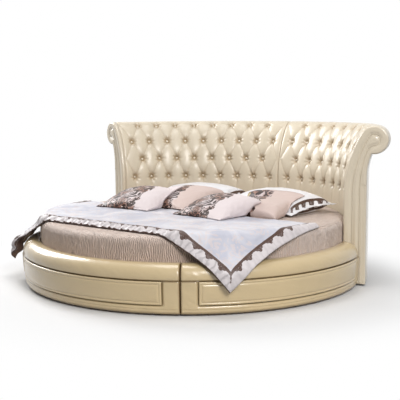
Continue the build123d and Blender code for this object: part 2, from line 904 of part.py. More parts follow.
def drape_point(run, lift):
    """Point of the duvet's drape in a radial plane, at a run from the mattress edge's start."""
    rim = (mattress_radius - mattress_edge_radius, mattress_top - mattress_edge_radius)
    rim_radius = mattress_edge_radius + duvet_rim_gap + lift
    roll = (rail_bulge_radius - rail_roll_radius, rail_bulge_height)
    roll_radius = rail_roll_radius + duvet_rail_gap + lift
    span = hypot(roll[0] - rim[0], roll[1] - rim[1])
    base = atan2(roll[1] - rim[1], roll[0] - rim[0])
    leave = base + acos((rim_radius - roll_radius) / span)
    rim_run = (mattress_edge_radius + duvet_rim_gap) * (pi / 2 - leave)
    bridge = sqrt(span**2 - (rim_radius - roll_radius) ** 2)
    roll_run = (rail_roll_radius + duvet_rail_gap) * leave
    if run <= 0:
        return (rim[0] + run, rim[1] + rim_radius)
    if run <= rim_run:
        turn = pi / 2 - run / (mattress_edge_radius + duvet_rim_gap)
        return (rim[0] + rim_radius * cos(turn), rim[1] + rim_radius * sin(turn))
    if run <= rim_run + bridge:
        share = (run - rim_run) / bridge
        start = (rim[0] + rim_radius * cos(leave), rim[1] + rim_radius * sin(leave))
        end = (roll[0] + roll_radius * cos(leave), roll[1] + roll_radius * sin(leave))
        return (start[0] + share * (end[0] - start[0]), start[1] + share * (end[1] - start[1]))
    if run <= rim_run + bridge + roll_run:
        turn = leave - (run - rim_run - bridge) / (rail_roll_radius + duvet_rail_gap)
        return (roll[0] + roll_radius * cos(turn), roll[1] + roll_radius * sin(turn))
    return (roll[0] + roll_radius, roll[1] - (run - rim_run - bridge - roll_run))


def duvet_reach(angle):
    """Distance from the bed's axis to the duvet's cut edge, before it falls over the rim."""
    across = duvet_half_width / max(sin(radians(angle)), 1e-6)
    along = duvet_foot_edge / max(cos(radians(angle)), 1e-6)
    return min(across, along)


def duvet_section(angle):
    """Section of the hanging part of the duvet in a radial plane."""
    rim_start = mattress_radius - mattress_edge_radius
    length = max(duvet_reach(angle) - rim_start, duvet_thickness)
    corner = degrees(atan2(duvet_half_width, duvet_foot_edge))
    wave = cos(radians(360 * (angle - corner) / duvet_fold_span)) ** 2
    runs = [length * k / duvet_stations for k in range(duvet_stations + 1)]
    swings = [duvet_fold_depth * wave * (run / length) ** 2 * length / rim_start for run in runs]
    lower = [drape_point(-cut_overrun, 0)]
    upper = [drape_point(-cut_overrun, duvet_thickness)]
    for run, swing in zip(runs, swings):
        low = drape_point(run, 0)
        high = drape_point(run, duvet_thickness)
        lower.append((low[0] + swing, low[1]))
        upper.append((high[0] + swing, high[1]))
    return turned(Plane.XZ * make_face(Polyline(*lower, *reversed(upper), close=True)), angle)


def make_duvet():
    """Duvet across the foot half, with its corners falling over the rails."""
    rim_start = mattress_radius - mattress_edge_radius
    corner = degrees(atan2(duvet_half_width, duvet_foot_edge))
    first = degrees(acos(duvet_foot_edge / (rim_start + duvet_thickness)))
    last = 90 - degrees(asin(duvet_head_edge / mattress_radius))
    half = duvet_slices // 2
    angles = [first + (corner - first) * k / half for k in range(half)]
    angles += [corner + (last - corner) * k / half for k in range(half + 1)]
    skirt = loft([duvet_section(angle) for angle in angles], ruled=True)
    level = mattress_top + seat_gap + duvet_thickness / 2
    top = Pos(0, 0, level) * Cylinder(rim_start, duvet_thickness)
    window = box_between(
        (-duvet_half_width, -duvet_foot_edge, mattress_bottom),
        (duvet_half_width, -duvet_head_edge, headboard_top),
    )
    return (top & window) + skirt + mirror(skirt, about=Plane.YZ)


# Pillows

def crowned_strip(reach, thickness, length):
    """Lens section of a given half width and thickness, drawn out to a length."""
    edge = pillow_edge / 2
    lens = make_face(
        ThreePointArc((-reach, edge), (0, thickness / 2), (reach, edge))
        + Line((reach, edge), (reach, -edge))
        + ThreePointArc((reach, -edge), (0, -thickness / 2), (-reach, -edge))
        + Line((-reach, -edge), (-reach, edge))
    )
    return extrude(lens, length / 2, both=True)


def pillow_form(size, ease=0):
    """Plump pillow with a crown both ways and drawn-in sides, grown by an ease."""
    width, height, thickness = (value + 2 * ease for value in size)
    right, top, draw = width / 2, height / 2, pillow_side_draw
    outline = make_face(
        ThreePointArc((-right, -top), (0, draw - top), (right, -top))
        + ThreePointArc((right, -top), (right - draw, 0), (right, top))
        + ThreePointArc((right, top), (0, top - draw), (-right, top))
        + ThreePointArc((-right, top), (draw - right, 0), (-right, -top))
    )
    along = Rot(90, 0, 0) * crowned_strip(right, thickness, 2 * height)
    across = Rot(0, 0, 90) * Rot(90, 0, 0) * crowned_strip(top, thickness, 2 * width)
    return extrude(outline, thickness, both=True) & along & across


def pillow_frame(place):
    """Frame of a pillow from its table entry of shares and angles."""
    across_share, along_share, lift_share, turn, tilt = place
    return (
        Pos(
            across_share * mattress_radius,
            along_share * mattress_radius,
            mattress_top + lift_share * mattress_depth,
        )
        * Rot(0, 0, turn)
        * Rot(tilt, 0, 0)
    )


def make_pillows():
    """Pillows from the back of the row to the front, each resting against those behind it."""
    bed_top = box_between(
        (-back_radius, -back_radius, 0), (back_radius, back_radius, mattress_top + seat_gap)
    )
    duvet_top = box_between(
        (-back_radius, -back_radius, 0),
        (back_radius, seat_gap - duvet_head_edge, mattress_top + duvet_thickness + 2 * seat_gap),
    )
    pillows = {}
    behind = []
    for name, (size, place) in pillow_row_shares.items():
        pillow = pillow_frame(place) * pillow_form(size) - bed_top - duvet_top
        for other in behind:
            pillow -= other
        solids = pillow.solids().sort_by(lambda solid: solid.volume)
        pillows[name] = solids[-1]
        behind.append(pillow_frame(place) * pillow_form(size, seat_gap))
    return pillows


# The whole bed

def build():
    """Write every sub-part."""
    os.makedirs("parts", exist_ok=True)
    half = segment_angle / 2
    rails = {"foot": 0, "right": segment_angle, "left": -segment_angle}
    holes = bolt_holes()
    for name, turn in rails.items():
        frame = Rot(0, 0, turn)
        save(frame * make_rail_box(-half, half) - holes, f"{name}_rail_box")
        save(frame * make_rail_cover(-half, half), f"{name}_rail_cover")
        save(frame * make_rail_panel(-half, half), f"{name}_rail_panel")
        save(frame * make_ledge(-half, half), f"{name}_ledge")
    halves = {
        "base_beam": make_base_beam(),
        "ribs": make_ribs(),
        "stringer": make_stringer(),
        "scroll_core": make_scroll_core(),
        "tufted_pad": make_pad(),
        "buttons": make_buttons(),
        "back_cover": make_back_cover(),
        "end_facing": make_facing(),
        "ledge": make_ledge(180 - segment_angle, 180),
    }
    for side in ("right", "left"):
        for name, shape in halves.items():
            piece = on_side(shape, side)
            piece = piece - holes if name == "base_beam" else piece
            save(piece, f"headboard_{name}_{side}")
    save(make_joining_plates(), "joining_plates")
    save(make_joining_bolts(), "joining_bolts")
    save(make_centre_beam(), "centre_beam")
    save(make_cross_beam(1), "cross_beam_right")
    save(make_cross_beam(-1), "cross_beam_left")
    save(make_hangers(), "beam_hangers")
    for name, place in leg_places().items():
        save(make_leg(place), f"leg_{name}")
    save(make_leg_plates(), "leg_plates")
    save(make_leg_glides(), "leg_glides")
    save(make_rim_glides(), "rim_glides")
    save(make_slats(), "slats")
    save(make_mattress(), "mattress")
    save(make_fitted_cover(), "fitted_cover")
    save(make_duvet(), "duvet")
    for name, pillow in make_pillows().items():
        save(pillow, name)


if __name__ == "__main__":
    build()
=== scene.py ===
from math import acos, asin, atan2, cos, degrees, hypot, pi, radians, sin, sqrt, tan

import bpy
import numpy as np
from bpy.props import FloatProperty, FloatVectorProperty, PointerProperty
from bpy.types import NodeSocket, Operator, Panel, PropertyGroup
from mathutils import Matrix, Vector
from mathutils.bvhtree import BVHTree
from mathutils.geometry import delaunay_2d_cdt


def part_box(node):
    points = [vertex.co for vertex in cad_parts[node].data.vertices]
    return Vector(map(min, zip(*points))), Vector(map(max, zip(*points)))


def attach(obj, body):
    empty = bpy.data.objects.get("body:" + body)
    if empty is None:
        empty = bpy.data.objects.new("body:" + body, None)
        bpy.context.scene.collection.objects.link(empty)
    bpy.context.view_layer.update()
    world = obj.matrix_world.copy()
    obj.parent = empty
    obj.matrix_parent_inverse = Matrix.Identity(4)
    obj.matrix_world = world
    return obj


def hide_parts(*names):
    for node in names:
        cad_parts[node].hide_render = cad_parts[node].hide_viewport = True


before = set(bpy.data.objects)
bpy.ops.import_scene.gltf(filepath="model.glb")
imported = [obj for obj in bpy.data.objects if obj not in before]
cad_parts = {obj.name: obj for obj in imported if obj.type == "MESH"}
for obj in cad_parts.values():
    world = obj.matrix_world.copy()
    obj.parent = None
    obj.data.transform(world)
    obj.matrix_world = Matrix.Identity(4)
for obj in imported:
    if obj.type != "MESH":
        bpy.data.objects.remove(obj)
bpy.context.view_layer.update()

bl_info = {
    "name": "Round Upholstered Bed",
    "version": (1, 0, 0),
    "blender": (4, 5, 0),
    "location": "View3D > Sidebar > Round Bed",
    "description": "Builds the soft pieces and finishes of a round bed around its frame",
    "category": "Add Mesh",
}

RNG_SEED = 11

SEGMENT = 72  # degrees that each rail and each half of the headboard spans
SEAM_HALF = 0.0015  # half of the gap between two segments
# Distances from a half's outer end, along the front, to its pad and to the facing's deepest plane
PAD_END, FACING_PLANE = 0.0339, 0.0153
FACING_GAP = 0.0003  # gap between a pad's end and its facing
RAIL_TURNS = (("foot", 0), ("right", SEGMENT), ("left", -SEGMENT))
BUTTON_COLUMNS = 9
BUTTON_SEAT = 0.0292  # how deep a button sits below the plain front
# Number of a row of buttons, place of its first button in pitches, count of its buttons
BUTTON_ROWS = [(row, 0.5 + row % 2 / 2, BUTTON_COLUMNS - row % 2) for row in range(4)]
TURN_UNDER = 0.07  # width of the fitted cover's edge below the mattress
FOOT_CHART = 10.0  # where the duvet's foot border starts on its chart
LACE_LINE, LACE_REACH = 0.080, 0.036  # lace of the duvet: distance from its edge, length of a fan
FLANGE = 0.042  # width of a white pillow's flange
PILLOW_GRID = 0.0095  # distance between a pillow's points
CLOTH_FRAMES = 11  # length of the cloth simulation that plumps a pillow

# Key, value and description, in metres unless a unit follows
SIZES = (
    ("mattress_radius", 1.100, "Radius of the round mattress"),
    ("mattress_top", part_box("fitted_cover")[1].z, "Height of the mattress top"),
    ("mattress_bottom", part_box("fitted_cover")[0].z, "Height of its underside"),
    ("mattress_edge", 0.048, "Round of the mattress edge"),
    ("front_radius", 1.108, "Radius of the headboard's plain front"),
    ("thickness", 0.156, "Front to back at the foot of the headboard"),
    ("flare_start", 0.634, "Height at which the front starts to lean out"),
    ("flare_radius", 0.800, "Radius of the flare"),
    ("flare_angle", radians(32), "Turn of the flare", "ROTATION"),
    ("scroll_radius", 0.096, "Radius of the rolled top"),
    ("back_flare_start", 0.760, "Height at which the back starts to lean out"),
    ("back_flare_radius", 0.400, "Radius of the back's flare"),
    ("pad_bottom", 0.205, "Height of the pad's lower edge"),
    ("pad_thickness", 0.045, "Thickness of the tufted pad"),
    ("core_radius", 0.0503, "Radius of the former in the scroll"),
    ("low_row", 0.637, "Height of the lowest row of buttons"),
    ("row_spacing", 0.1568, "Distance between button rows along the front"),
    ("field_share", 0.975, "Share of a half that the buttons fill", "NONE"),
    ("crease_depth", 0.0070, "Depth of the folds between the buttons"),
    ("button_pull", 0.0300, "How much deeper a button is pulled"),
    ("button_radius", 0.0115, "Radius of a covered button"),
    ("rail_bulge_radius", 1.2253, "Outer radius of the rails at their roll"),
    ("rail_foot_radius", 1.2093, "Outer radius of the rails at the floor"),
    ("rail_height", 0.314, "Height of the rails"),
    ("roll_radius", 0.078, "Radius of the rail's rolled top"),
    ("panel_low", 0.070, "Height of the panel's lower edge"),
    ("panel_high", 0.213, "Height of the panel's upper edge"),
    ("panel_proud", 0.013, "How far the panel stands out"),
    ("panel_margin", 0.112, "Distance from a panel's end to the seam"),
    ("duvet_half_width", 1.115, "Half of the duvet's cut width"),
    ("duvet_right", 1.090, "Width of the duvet's right half"),
    ("duvet_foot", 0.938, "Distance of the foot edge from the middle"),
    ("duvet_head", 0.040, "Distance of the head edge from the middle"),
)
COLOURS = (
    # leather and board_leather are lit and shaded copies of one pearl leather: the headboard's copy is
    # paler as painted light, the rails' darker and more golden as painted shade
    ("leather", (0.565, 0.435, 0.242), "Pearl cream leather of the rails"),
    ("board_leather", (0.655, 0.57, 0.435), "Pearl cream leather of the headboard"),
    ("cover", (0.71, 0.55, 0.46), "Ribbed taupe cloth"),
    ("duvet", (0.545, 0.54, 0.58), "White satin with a lilac cast"),
    ("border", (0.58, 0.535, 0.54), "Plain border of the duvet"),
    ("lace", (0.068, 0.034, 0.024), "Dark brown lace"),
    ("white_satin", (0.70, 0.69, 0.71), "White pillow satin"),
    ("peach_satin", (0.55, 0.435, 0.395), "Rosy beige satin"),
    ("pale_satin", (0.64, 0.565, 0.565), "Pale cushion satin"),
    ("timber", (0.58, 0.41, 0.24), "Planed softwood"),
    ("plywood", (0.52, 0.38, 0.24), "Raw plywood"),
    ("steel", (0.03, 0.03, 0.033), "Dark coated steel"),
)
# Width, height and thickness of a pillow; place across and along in mattress radii, rise in mattress
# depths, turn and tilt in degrees; slot
PILLOWS = {
    "white_pillow_left": ((0.740, 0.470, 0.175), (-0.325, 0.485, 0.27, 8, 5), "white_satin"),
    "white_pillow_right": ((0.750, 0.480, 0.180), (0.375, 0.445, 0.29, -11, 5), "white_satin"),
    "satin_pillow_left": ((0.450, 0.440, 0.160), (-0.185, 0.125, 0.26, -3, 18), "peach_satin"),
    "satin_pillow_right": ((0.460, 0.450, 0.145), (0.435, 0.180, 0.19, 5, 5), "peach_satin"),
    "print_cushion_left": ((0.490, 0.470, 0.180), (-0.428, -0.058, 0.215, 4, 15), "print_satin"),
    "print_cushion_right": ((0.460, 0.440, 0.175), (0.272, -0.088, 0.22, -7, 16), "print_satin"),
}


def label(key):
    return key.replace("_", " ").capitalize()


def size(key, value, about, unit="LENGTH"):
    return FloatProperty(name=label(key), description=about, default=value, unit=unit)


def colour(key, value, about):
    return FloatVectorProperty(
        name=label(key), description=about, default=value, size=3, subtype="COLOR", min=0, max=1
    )


class BedSizes(PropertyGroup):
    """Sizes of the bed."""

    __annotations__ = {row[0]: size(*row) for row in SIZES}


class BedColours(PropertyGroup):
    """Colours of the bed."""

    __annotations__ = {row[0]: colour(*row) for row in COLOURS}


def sizes():
    return bpy.context.scene.bed_sizes


def colours():
    return bpy.context.scene.bed_colours


# Shapes

def unit(x):
    return np.clip(x, 0, 1)


def ease(x):
    x = unit(x)
    return x * x * (3 - 2 * x)


def dome(x):
    """Quarter round that rises from 0 to 1."""
    return np.sqrt(1 - (1 - unit(x)) ** 2)


def bell(x, width, power=2):
    """Falls from 1 at nought to next to nothing past a width."""
    return np.exp(-((x / width) ** power))


def waves(angle):
    return np.cos(np.radians(angle))


def edge_roll(distance, width, depth):
    """Depth by which an edge rolls in near its seam."""
    return depth * (1 - dome(distance / width))


def ripple(a, b, seed):
    """Smooth repeatable unevenness between -1 and 1."""
    rng = np.random.default_rng(seed)
    total = 0
    for k in range(5):
        fa, fb = rng.uniform(0.6, 2.6, 2) * (1 + 0.6 * k)
        total = total + np.sin(fa * a + fb * b + rng.uniform(0, 6.283)) / (1 + 0.7 * k)
    return total / 3.2


def points_of(*coordinates):
    """Points from their coordinates, given as arrays or numbers."""
    return np.stack(np.broadcast_arrays(*coordinates), axis=-1)


def ring(radius, angle, height):
    """Points at a radius, an angle from the foot in degrees and a height."""
    a = np.radians(angle)
    return points_of(radius * np.sin(a), -radius * np.cos(a), height)


def arc(centre, radius, start, end, count):
    """Points of an arc in the (radius, height) plane, angles in degrees."""
    t = np.radians(np.linspace(start, end, count))
    return points_of(centre[0] + radius * np.cos(t), centre[1] + radius * np.sin(t))


def fine_ends(angles, distances, radius):
    """Angles with some more at distances from both ends along an arc."""
    steps = np.degrees(np.array(distances) / radius)
    return np.sort(np.concatenate([angles, angles[0] + steps, angles[-1] - steps]))


def runs_of(path):
    """Length of a path up to each of its points."""
    return np.concatenate([[0], np.cumsum(np.hypot(*np.diff(path, axis=0).T))])


def mirrored(points):
    return points * (-1, 1, 1)


def placed(name, data):
    """New object in the scene."""
    made = bpy.data.objects.new(name, data)
    bpy.context.scene.collection.objects.link(made)
    return made


def new_piece(name, points, faces, node_name, material, chart=None):
    """Mesh piece at the origin that stands for a CAD node and rides on the bed."""
    mesh = bpy.data.meshes.new(name)
    mesh.from_pydata([tuple(p) for p in np.reshape(points, (-1, 3))], [], faces)
    mesh.update()
    if chart is not None:
        mesh.uv_layers.new(name="UVMap").data.foreach_set("uv", np.ravel(chart).astype(np.float32))
    mesh.shade_smooth()
    mesh.materials.append(material)
    piece = placed(name, mesh)
    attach(piece, "root")
    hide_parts(node_name)
    return piece


def as_faces(corners):
    return [tuple(face) for face in corners.tolist()]


def strip_faces(rows, columns, closed=False, offset=0, flip=False):
    """Quads of a grid of points, row after row."""
    at = offset + np.arange(rows * columns).reshape(rows, columns)
    if closed:
        at = np.hstack([at, at[:, :1]])
    quads = points_of(at[:-1, :-1], at[:-1, 1:], at[1:, 1:], at[1:, :-1]).reshape(-1, 4)
    return as_faces(quads[:, ::-1] if flip else quads)


def slab_faces(rows, columns, walls_out=True):
    """Quads of an upper and a lower grid of points that are joined round their border."""
    at = np.arange(rows * columns).reshape(rows, columns)
    border = np.concatenate([at[:, 0], at[-1, 1:], at[-2::-1, -1], at[0, -2:0:-1]])
    after = np.roll(border, -1)
    walls = points_of(border + at.size, after + at.size, after, border)
    return (strip_faces(rows, columns, flip=True) + strip_faces(rows, columns, offset=at.size)
            + as_faces(walls if walls_out else walls[:, ::-1]))


def loft(name, grid, node_name, material, flip=False):
    """Closed loops of points joined in order, with a flat cap at each end."""
    rows, columns = grid.shape[:2]
    ends = [tuple(range(columns))[::-1], tuple(range((rows - 1) * columns, rows * columns))]
    faces = strip_faces(rows, columns, True, flip=flip) + [f[::-1] if flip else f for f in ends]
    return new_piece(name, grid, faces, node_name, material)


def thicken(piece, thickness):
    """Gives a sheet its thickness on its inner side."""
    shell = piece.modifiers.new("Thickness", "SOLIDIFY")
    shell.thickness, shell.offset = thickness, -1
    return shell


class Headboard:
    """Outline of the headboard in a plane through the bed's axis."""

    def __init__(self):
        self.s = s = sizes()
        turn, reach = s.flare_angle, s.flare_radius - s.scroll_radius
        self.flare = (s.front_radius + s.flare_radius, s.flare_start)
        self.scroll = (self.flare[0] - reach * cos(turn), self.flare[1] + reach * sin(turn))
        self.back_radius = s.front_radius + s.thickness
        self.back = (self.back_radius + s.back_flare_radius, s.back_flare_start)
        # The crease between scroll and back, seen from the scroll's centre
        dx, dz = self.back[0] - self.scroll[0], self.back[1] - self.scroll[1]
        span = hypot(dx, dz)
        along = (span**2 + s.scroll_radius**2 - s.back_flare_radius**2) / (2 * span)
        aside = sqrt(s.scroll_radius**2 - along**2)
        x, z = (along * dx + aside * dz) / span, (along * dz - aside * dx) / span
        self.crease_angle = degrees(atan2(z, x))
        self.back_turn = degrees(asin((z - dz) / s.back_flare_radius))
        self.start = 180 - degrees(turn)
        self.flare_run = s.flare_radius * turn
        self.end_run = self.flare_run + s.scroll_radius * radians(self.start - self.crease_angle)
        self.first_angle = degrees(SEAM_HALF / s.front_radius)
        self.last_angle = SEGMENT - degrees(PAD_END / s.front_radius)
        self.margin = self.last_angle * (1 - s.field_share) / 2
        self.pitch = self.last_angle * s.field_share / BUTTON_COLUMNS
        self.low_run = s.flare_radius * asin((s.low_row - s.flare_start) / s.flare_radius)

    def front(self, run, inset):
        """Points at an inset behind the plain front at runs up it, and the directions out of it."""
        s, run = self.s, np.asarray(run, float)
        on_scroll = run >= self.flare_run
        turn = np.where(on_scroll, s.flare_angle + (run - self.flare_run) / s.scroll_radius,
                        np.maximum(run, 0) / s.flare_radius)
        away = points_of(-np.cos(turn), np.sin(turn))
        radius = np.where(on_scroll, s.scroll_radius, s.flare_radius) - inset
        point = np.where(on_scroll[..., None], self.scroll, self.flare) + radius[..., None] * away
        point[..., 1] += np.minimum(run, 0)
        return point, away

    def front_arc(self, inset, count):
        """Points along the flare at an inset, from its foot to the scroll."""
        return arc(self.flare, self.s.flare_radius - inset, 180, self.start, count)

    def from_ends(self, angles, radius):
        """Distance to the nearer end of a half."""
        return np.radians(np.minimum(angles - self.first_angle, self.last_angle - angles)) * radius

    def halves(self, name, grid, node_name, material, flip):
        """Right and left padded pieces from a grid for the right one, whose faces may need a flip."""
        pieces = []
        for side, shape in (("right", grid), ("left", mirrored(grid))):
            piece = loft(f"{name}_{side}", shape, f"{node_name}_{side}", material,
                         flip == (side == "right"))
            pieces.append(piece)
        return pieces


def tuft_depth(board, angle, run):
    """Depth of the deep buttoning at an angle from the seam and a run up the front."""
    s = board.s
    pitch = radians(board.pitch) * s.front_radius
    p = (angle - board.margin) / board.pitch
    q = (run - board.low_run) / s.row_spacing
    held = np.clip(q, 0, 3) / 2
    a, b = p - 0.5 + held, p - 0.5 - held
    full = np.abs(np.sin(np.pi * a) * np.sin(np.pi * b))
    steep = hypot(1 / pitch, 0.5 / s.row_spacing)
    aside = np.minimum(np.abs(a - np.round(a)), np.abs(b - np.round(b))) / steep
    fold = 0.6 * bell(aside, 0.0050, 1) + 0.4 * bell(aside, 0.020)
    fade = np.where(q < 0, 1 - 0.5 * ease(-q / 2.2), 1 - ease((q - 3) / 0.32))
    nearest, theta = np.full_like(p, 1e3), np.zeros_like(p)
    for row, shift, count in BUTTON_ROWS:
        k = np.clip(np.round(p - shift), 0, count - 1)
        dx, dy = (p - k - shift) * pitch * 1.06, (q - row) * s.row_spacing
        r = np.hypot(dx, dy)
        theta = np.where(r < nearest, np.arctan2(dy, dx) + k * 1.7 + row, theta)
        nearest = np.minimum(r, nearest)
    pull = s.button_pull * (0.4 * bell(nearest, 0.040, 1.5) + 0.6 * bell(nearest, 0.0225))
    gathers = 0.0022 * np.cos(7 * theta) * bell(nearest - 0.030, 0.016)
    return (s.crease_depth * fold - 0.0022 * full) * fade + pull + gathers


# Finishes

class Value:
    """Output of a shader node that sums are written with as with a number."""

    def __init__(self, socket):
        self.socket = socket

    __add__, __sub__, __mul__, __truediv__, __pow__, __lt__, __gt__ = (
        lambda self, other, kind=kind: calc(kind, self, other)
        for kind in ("ADD", "SUBTRACT", "MULTIPLY", "DIVIDE", "POWER", "LESS_THAN", "GREATER_THAN")
    )

    def __rsub__(self, other):
        return calc("SUBTRACT", other, self)

    def __abs__(self):
        return calc("ABSOLUTE", self)


def feed(socket, value):
    """Gives a shader input a number, a colour or another node's output."""
    value = getattr(value, "socket", value)
    if isinstance(value, NodeSocket):
        socket.id_data.links.new(value, socket)
    else:
        socket.default_value = (*value[:3], 1) if socket.type == "RGBA" else value


def add(tree, kind, settings=None, **inputs):
    """Shader node with its settings and inputs, an input without a name being given as _number."""
    made = tree.nodes.new("ShaderNode" + kind)
    for key, value in (settings or {}).items():
        setattr(made, key, value)
    for key, value in inputs.items():
        feed(made.inputs[int(key[1:]) if key[0] == "_" else key.replace("_", " ")], value)
    return made


def calc(operation, *values, clamp=False):
    """Sum of values and numbers."""
    tree = next(v.socket.id_data for v in values if isinstance(v, Value))
    inputs = {f"_{k}": value for k, value in enumerate(values)}
    made = add(tree, "Math", {"operation": operation, "use_clamp": clamp}, **inputs)
    return Value(made.outputs[0])


def cloud(tree, vector, scale, detail, distortion=0.0):
    made = add(tree, "TexNoise", Vector=vector, Scale=scale, Detail=detail, Distortion=distortion)
    return Value(made.outputs["Fac"])


def cell_distance(tree, vector, scale, feature="F1"):
    made = add(tree, "TexVoronoi", {"feature": feature}, Vector=vector, Scale=scale)
    return Value(made.outputs["Distance"])


def remap(tree, value, low, high, top=1.0):
    made = add(tree, "MapRange", Value=value, From_Min=low, From_Max=high, To_Max=top)
    return Value(made.outputs[0])


def split(tree, vector):
    return [Value(socket) for socket in add(tree, "SeparateXYZ", Vector=vector).outputs]


def mix(tree, share, first, second):
    """Colour between two colours."""
    return add(tree, "Mix", {"data_type": "RGBA"}, _0=share, _6=first, _7=second).outputs[2]


def shade(tone, factor):
    """Colour times a number, or times three."""
    return tuple(np.multiply(tone, factor))


def finish_material(name, base, roughness, bumps=(), **shader):
    """Material from a colour maker, a roughness and bumps (maker, distance, strength)."""
    material = bpy.data.materials.new(name)
    material.use_nodes = True
    tree = material.node_tree
    coords = add(tree, "TexCoord").outputs
    place, chart = coords["Object"], coords["UV"]
    shader |= {"Base_Color": base(tree, place, chart), "Roughness": roughness}
    normal = {}
    for make, distance, strength in bumps:
        bump = add(tree, "Bump", Height=make(tree, place, chart), Distance=distance, Strength=strength,
                   **normal)
        normal = {"Normal": bump.outputs[0]}
    for key, value in (shader | normal).items():
        feed(tree.nodes["Principled BSDF"].inputs[key.replace("_", " ")], value)
    return material


def noise(scale, detail=3, spread=None):
    def make(tree, place, chart):
        vector = add(tree, "Mapping", Vector=place, Scale=spread).outputs[0] if spread else place
        return cloud(tree, vector, scale, detail)
    return make


def cells(scale):
    return lambda tree, place, chart: cell_distance(tree, place, scale)


def tinted(tone, darker, scale):
    """Colour with soft uneven shade."""
    return lambda tree, place, chart: mix(
        tree, cloud(tree, place, scale, 4), shade(tone, darker), tone)


def shaded_leather_tone(tone, shade_tint=(0.54, 0.44, 0.32)):
    """Leather colour with painted shade: it darkens towards a shade tint where the piece's own 'tuck'
    attribute is high.
    """
    def make(tree, place, chart):
        painted_shade = add(tree, "Attribute", {"attribute_name": "tuck"}).outputs["Fac"]
        return mix(tree, painted_shade, tinted(tone, 0.88, 5)(tree, place, chart), shade(tone, shade_tint))
    return make


def store_painted_shade(piece, share):
    """Stores on each point of a piece, from 0 to 1, how much painted shade its colour takes."""
    layer = piece.data.attributes.new("tuck", "FLOAT", "POINT")
    layer.data.foreach_set("value", np.ravel(share).astype(np.float32))


def leather_finish(name, tone, creases=0.25, gloss=0.8, base=None):
    """Pearl leather: soft gloss, fine grain and shallow stretch creases."""
    dull = (0.8 - gloss) / 0.5
    return finish_material(
        name, base or tinted(tone, 0.88, 5), 0.31 + 0.08 * dull,
        [(noise(16), 0.006, creases), (noise(70), 0.0009, creases), (cells(620), 0.0005, 0.3)],
        Coat_Weight=gloss, Coat_Roughness=0.16 + 0.14 * dull,
    )


def wood_finish(name, tone, along):
    """Planed wood with grain along an axis."""
    spread = [1.2 if axis == along else 14.0 for axis in range(3)]

    def base(tree, place, chart):
        return mix(tree, noise(5, 6, spread)(tree, place, chart), shade(tone, 0.62), tone)
    return finish_material(name, base, 0.62, [(noise(9, 6, spread), 0.0006, 0.4)])


def metal_finish(name, tone, metallic, roughness):
    return finish_material(name, tinted(tone, 0.8, 30), roughness, [(noise(900, 2), 0.0002, 0.2)],
                           Metallic=metallic)


class BED_OT_frame_finishes(Operator):
    """Wood, steel and plastic of the hidden frame"""

    bl_idname = "bed.frame_finishes"
    bl_label = "Frame finishes"

    def execute(self, context):
        c = colours()
        plastic = finish_material("Moulded glide plastic", tinted((0.03, 0.03, 0.03), 0.7, 40), 0.5,
                                  [(noise(700, 2), 0.0003, 0.25)])
        # Finishes with the words that name their nodes; the first that fits is taken
        finishes = (
            (wood_finish("Planed softwood", c.timber, 0), "ledge stringer cross_beam slats"),
            (wood_finish("Softwood beam", c.timber, 1), "centre_beam"),
            (wood_finish("Raw plywood", c.plywood, 2), "base_beam ribs"),
            (wood_finish("Glued board", shade(c.plywood, 1.05), 0), "rail_box"),
            (wood_finish("Bendy board", shade(c.plywood, 0.9), 2), "scroll_core"),
            (metal_finish("Coated steel", c.steel, 0.0, 0.45), "joining_plates hangers leg_plates"),
            (metal_finish("Zinc plate", (0.5, 0.5, 0.5), 1.0, 0.35), "joining_bolts"),
            (plastic, "glides"),
            (wood_finish("Softwood leg", c.timber, 2), "leg_"),
        )
        for name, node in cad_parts.items():
            fitting = [m for m, words in finishes if any(word in name for word in words.split())]
            if fitting:
                node.data.materials.clear()
                node.data.materials.append(fitting[0])
        return {"FINISHED"}


class BED_OT_tufted_pads(Operator):
    """Deep buttoned pads on the front of the headboard"""

    bl_idname = "bed.tufted_pads"
    bl_label = "Tufted pads"

    def execute(self, context):
        board = Headboard()
        s = board.s
        angles = np.linspace(0, board.last_angle, 33 * BUTTON_COLUMNS + 1)
        angles[0] = board.first_angle
        angles = fine_ends(angles, [0.0012, 0.0028], s.front_radius)
        runs = np.append(np.arange(s.pad_bottom - s.flare_start, board.end_run, 0.0047), board.end_run)
        a, r = np.meshgrid(angles, runs, indexing="ij")
        near = board.from_ends(a, s.front_radius)
        depth = tuft_depth(board, a, r) * ease(near / 0.018) + edge_roll(near, 0.024, 0.012)
        depth = depth + 0.0012 * ripple(a * 0.35, r * 14, RNG_SEED)
        fade = ease((board.end_run - r) / 0.05)
        point, _ = board.front(r, depth * np.maximum(fade, 0.05))
        inner = np.concatenate([
            arc(board.scroll, s.core_radius, board.crease_angle, board.start, 12),
            board.front_arc(s.pad_thickness, 9)[::-1],
            [(s.front_radius + s.pad_thickness, s.pad_bottom)],
        ])
        around = 180 - angles[:, None]
        grid = np.concatenate([ring(point[..., 0], around, point[..., 1]),
                               ring(inner[:, 0], around, inner[:, 1])], axis=1)
        tone = colours().board_leather
        leather = leather_finish("Tufted pearl leather", tone, 0.2, 0.4, shaded_leather_tone(tone))
        # Painted shade in the button pits and folds: the deeper the front is pulled in, the darker its
        # colour
        tuck = np.pad(unit((depth - 0.0035) / 0.024) ** 0.85 * fade, ((0, 0), (0, len(inner))))
        for pad in board.halves("tufted_pad", grid, "headboard_tufted_pad", leather,
                                flip=True):
            store_painted_shade(pad, tuck)
        return {"FINISHED"}


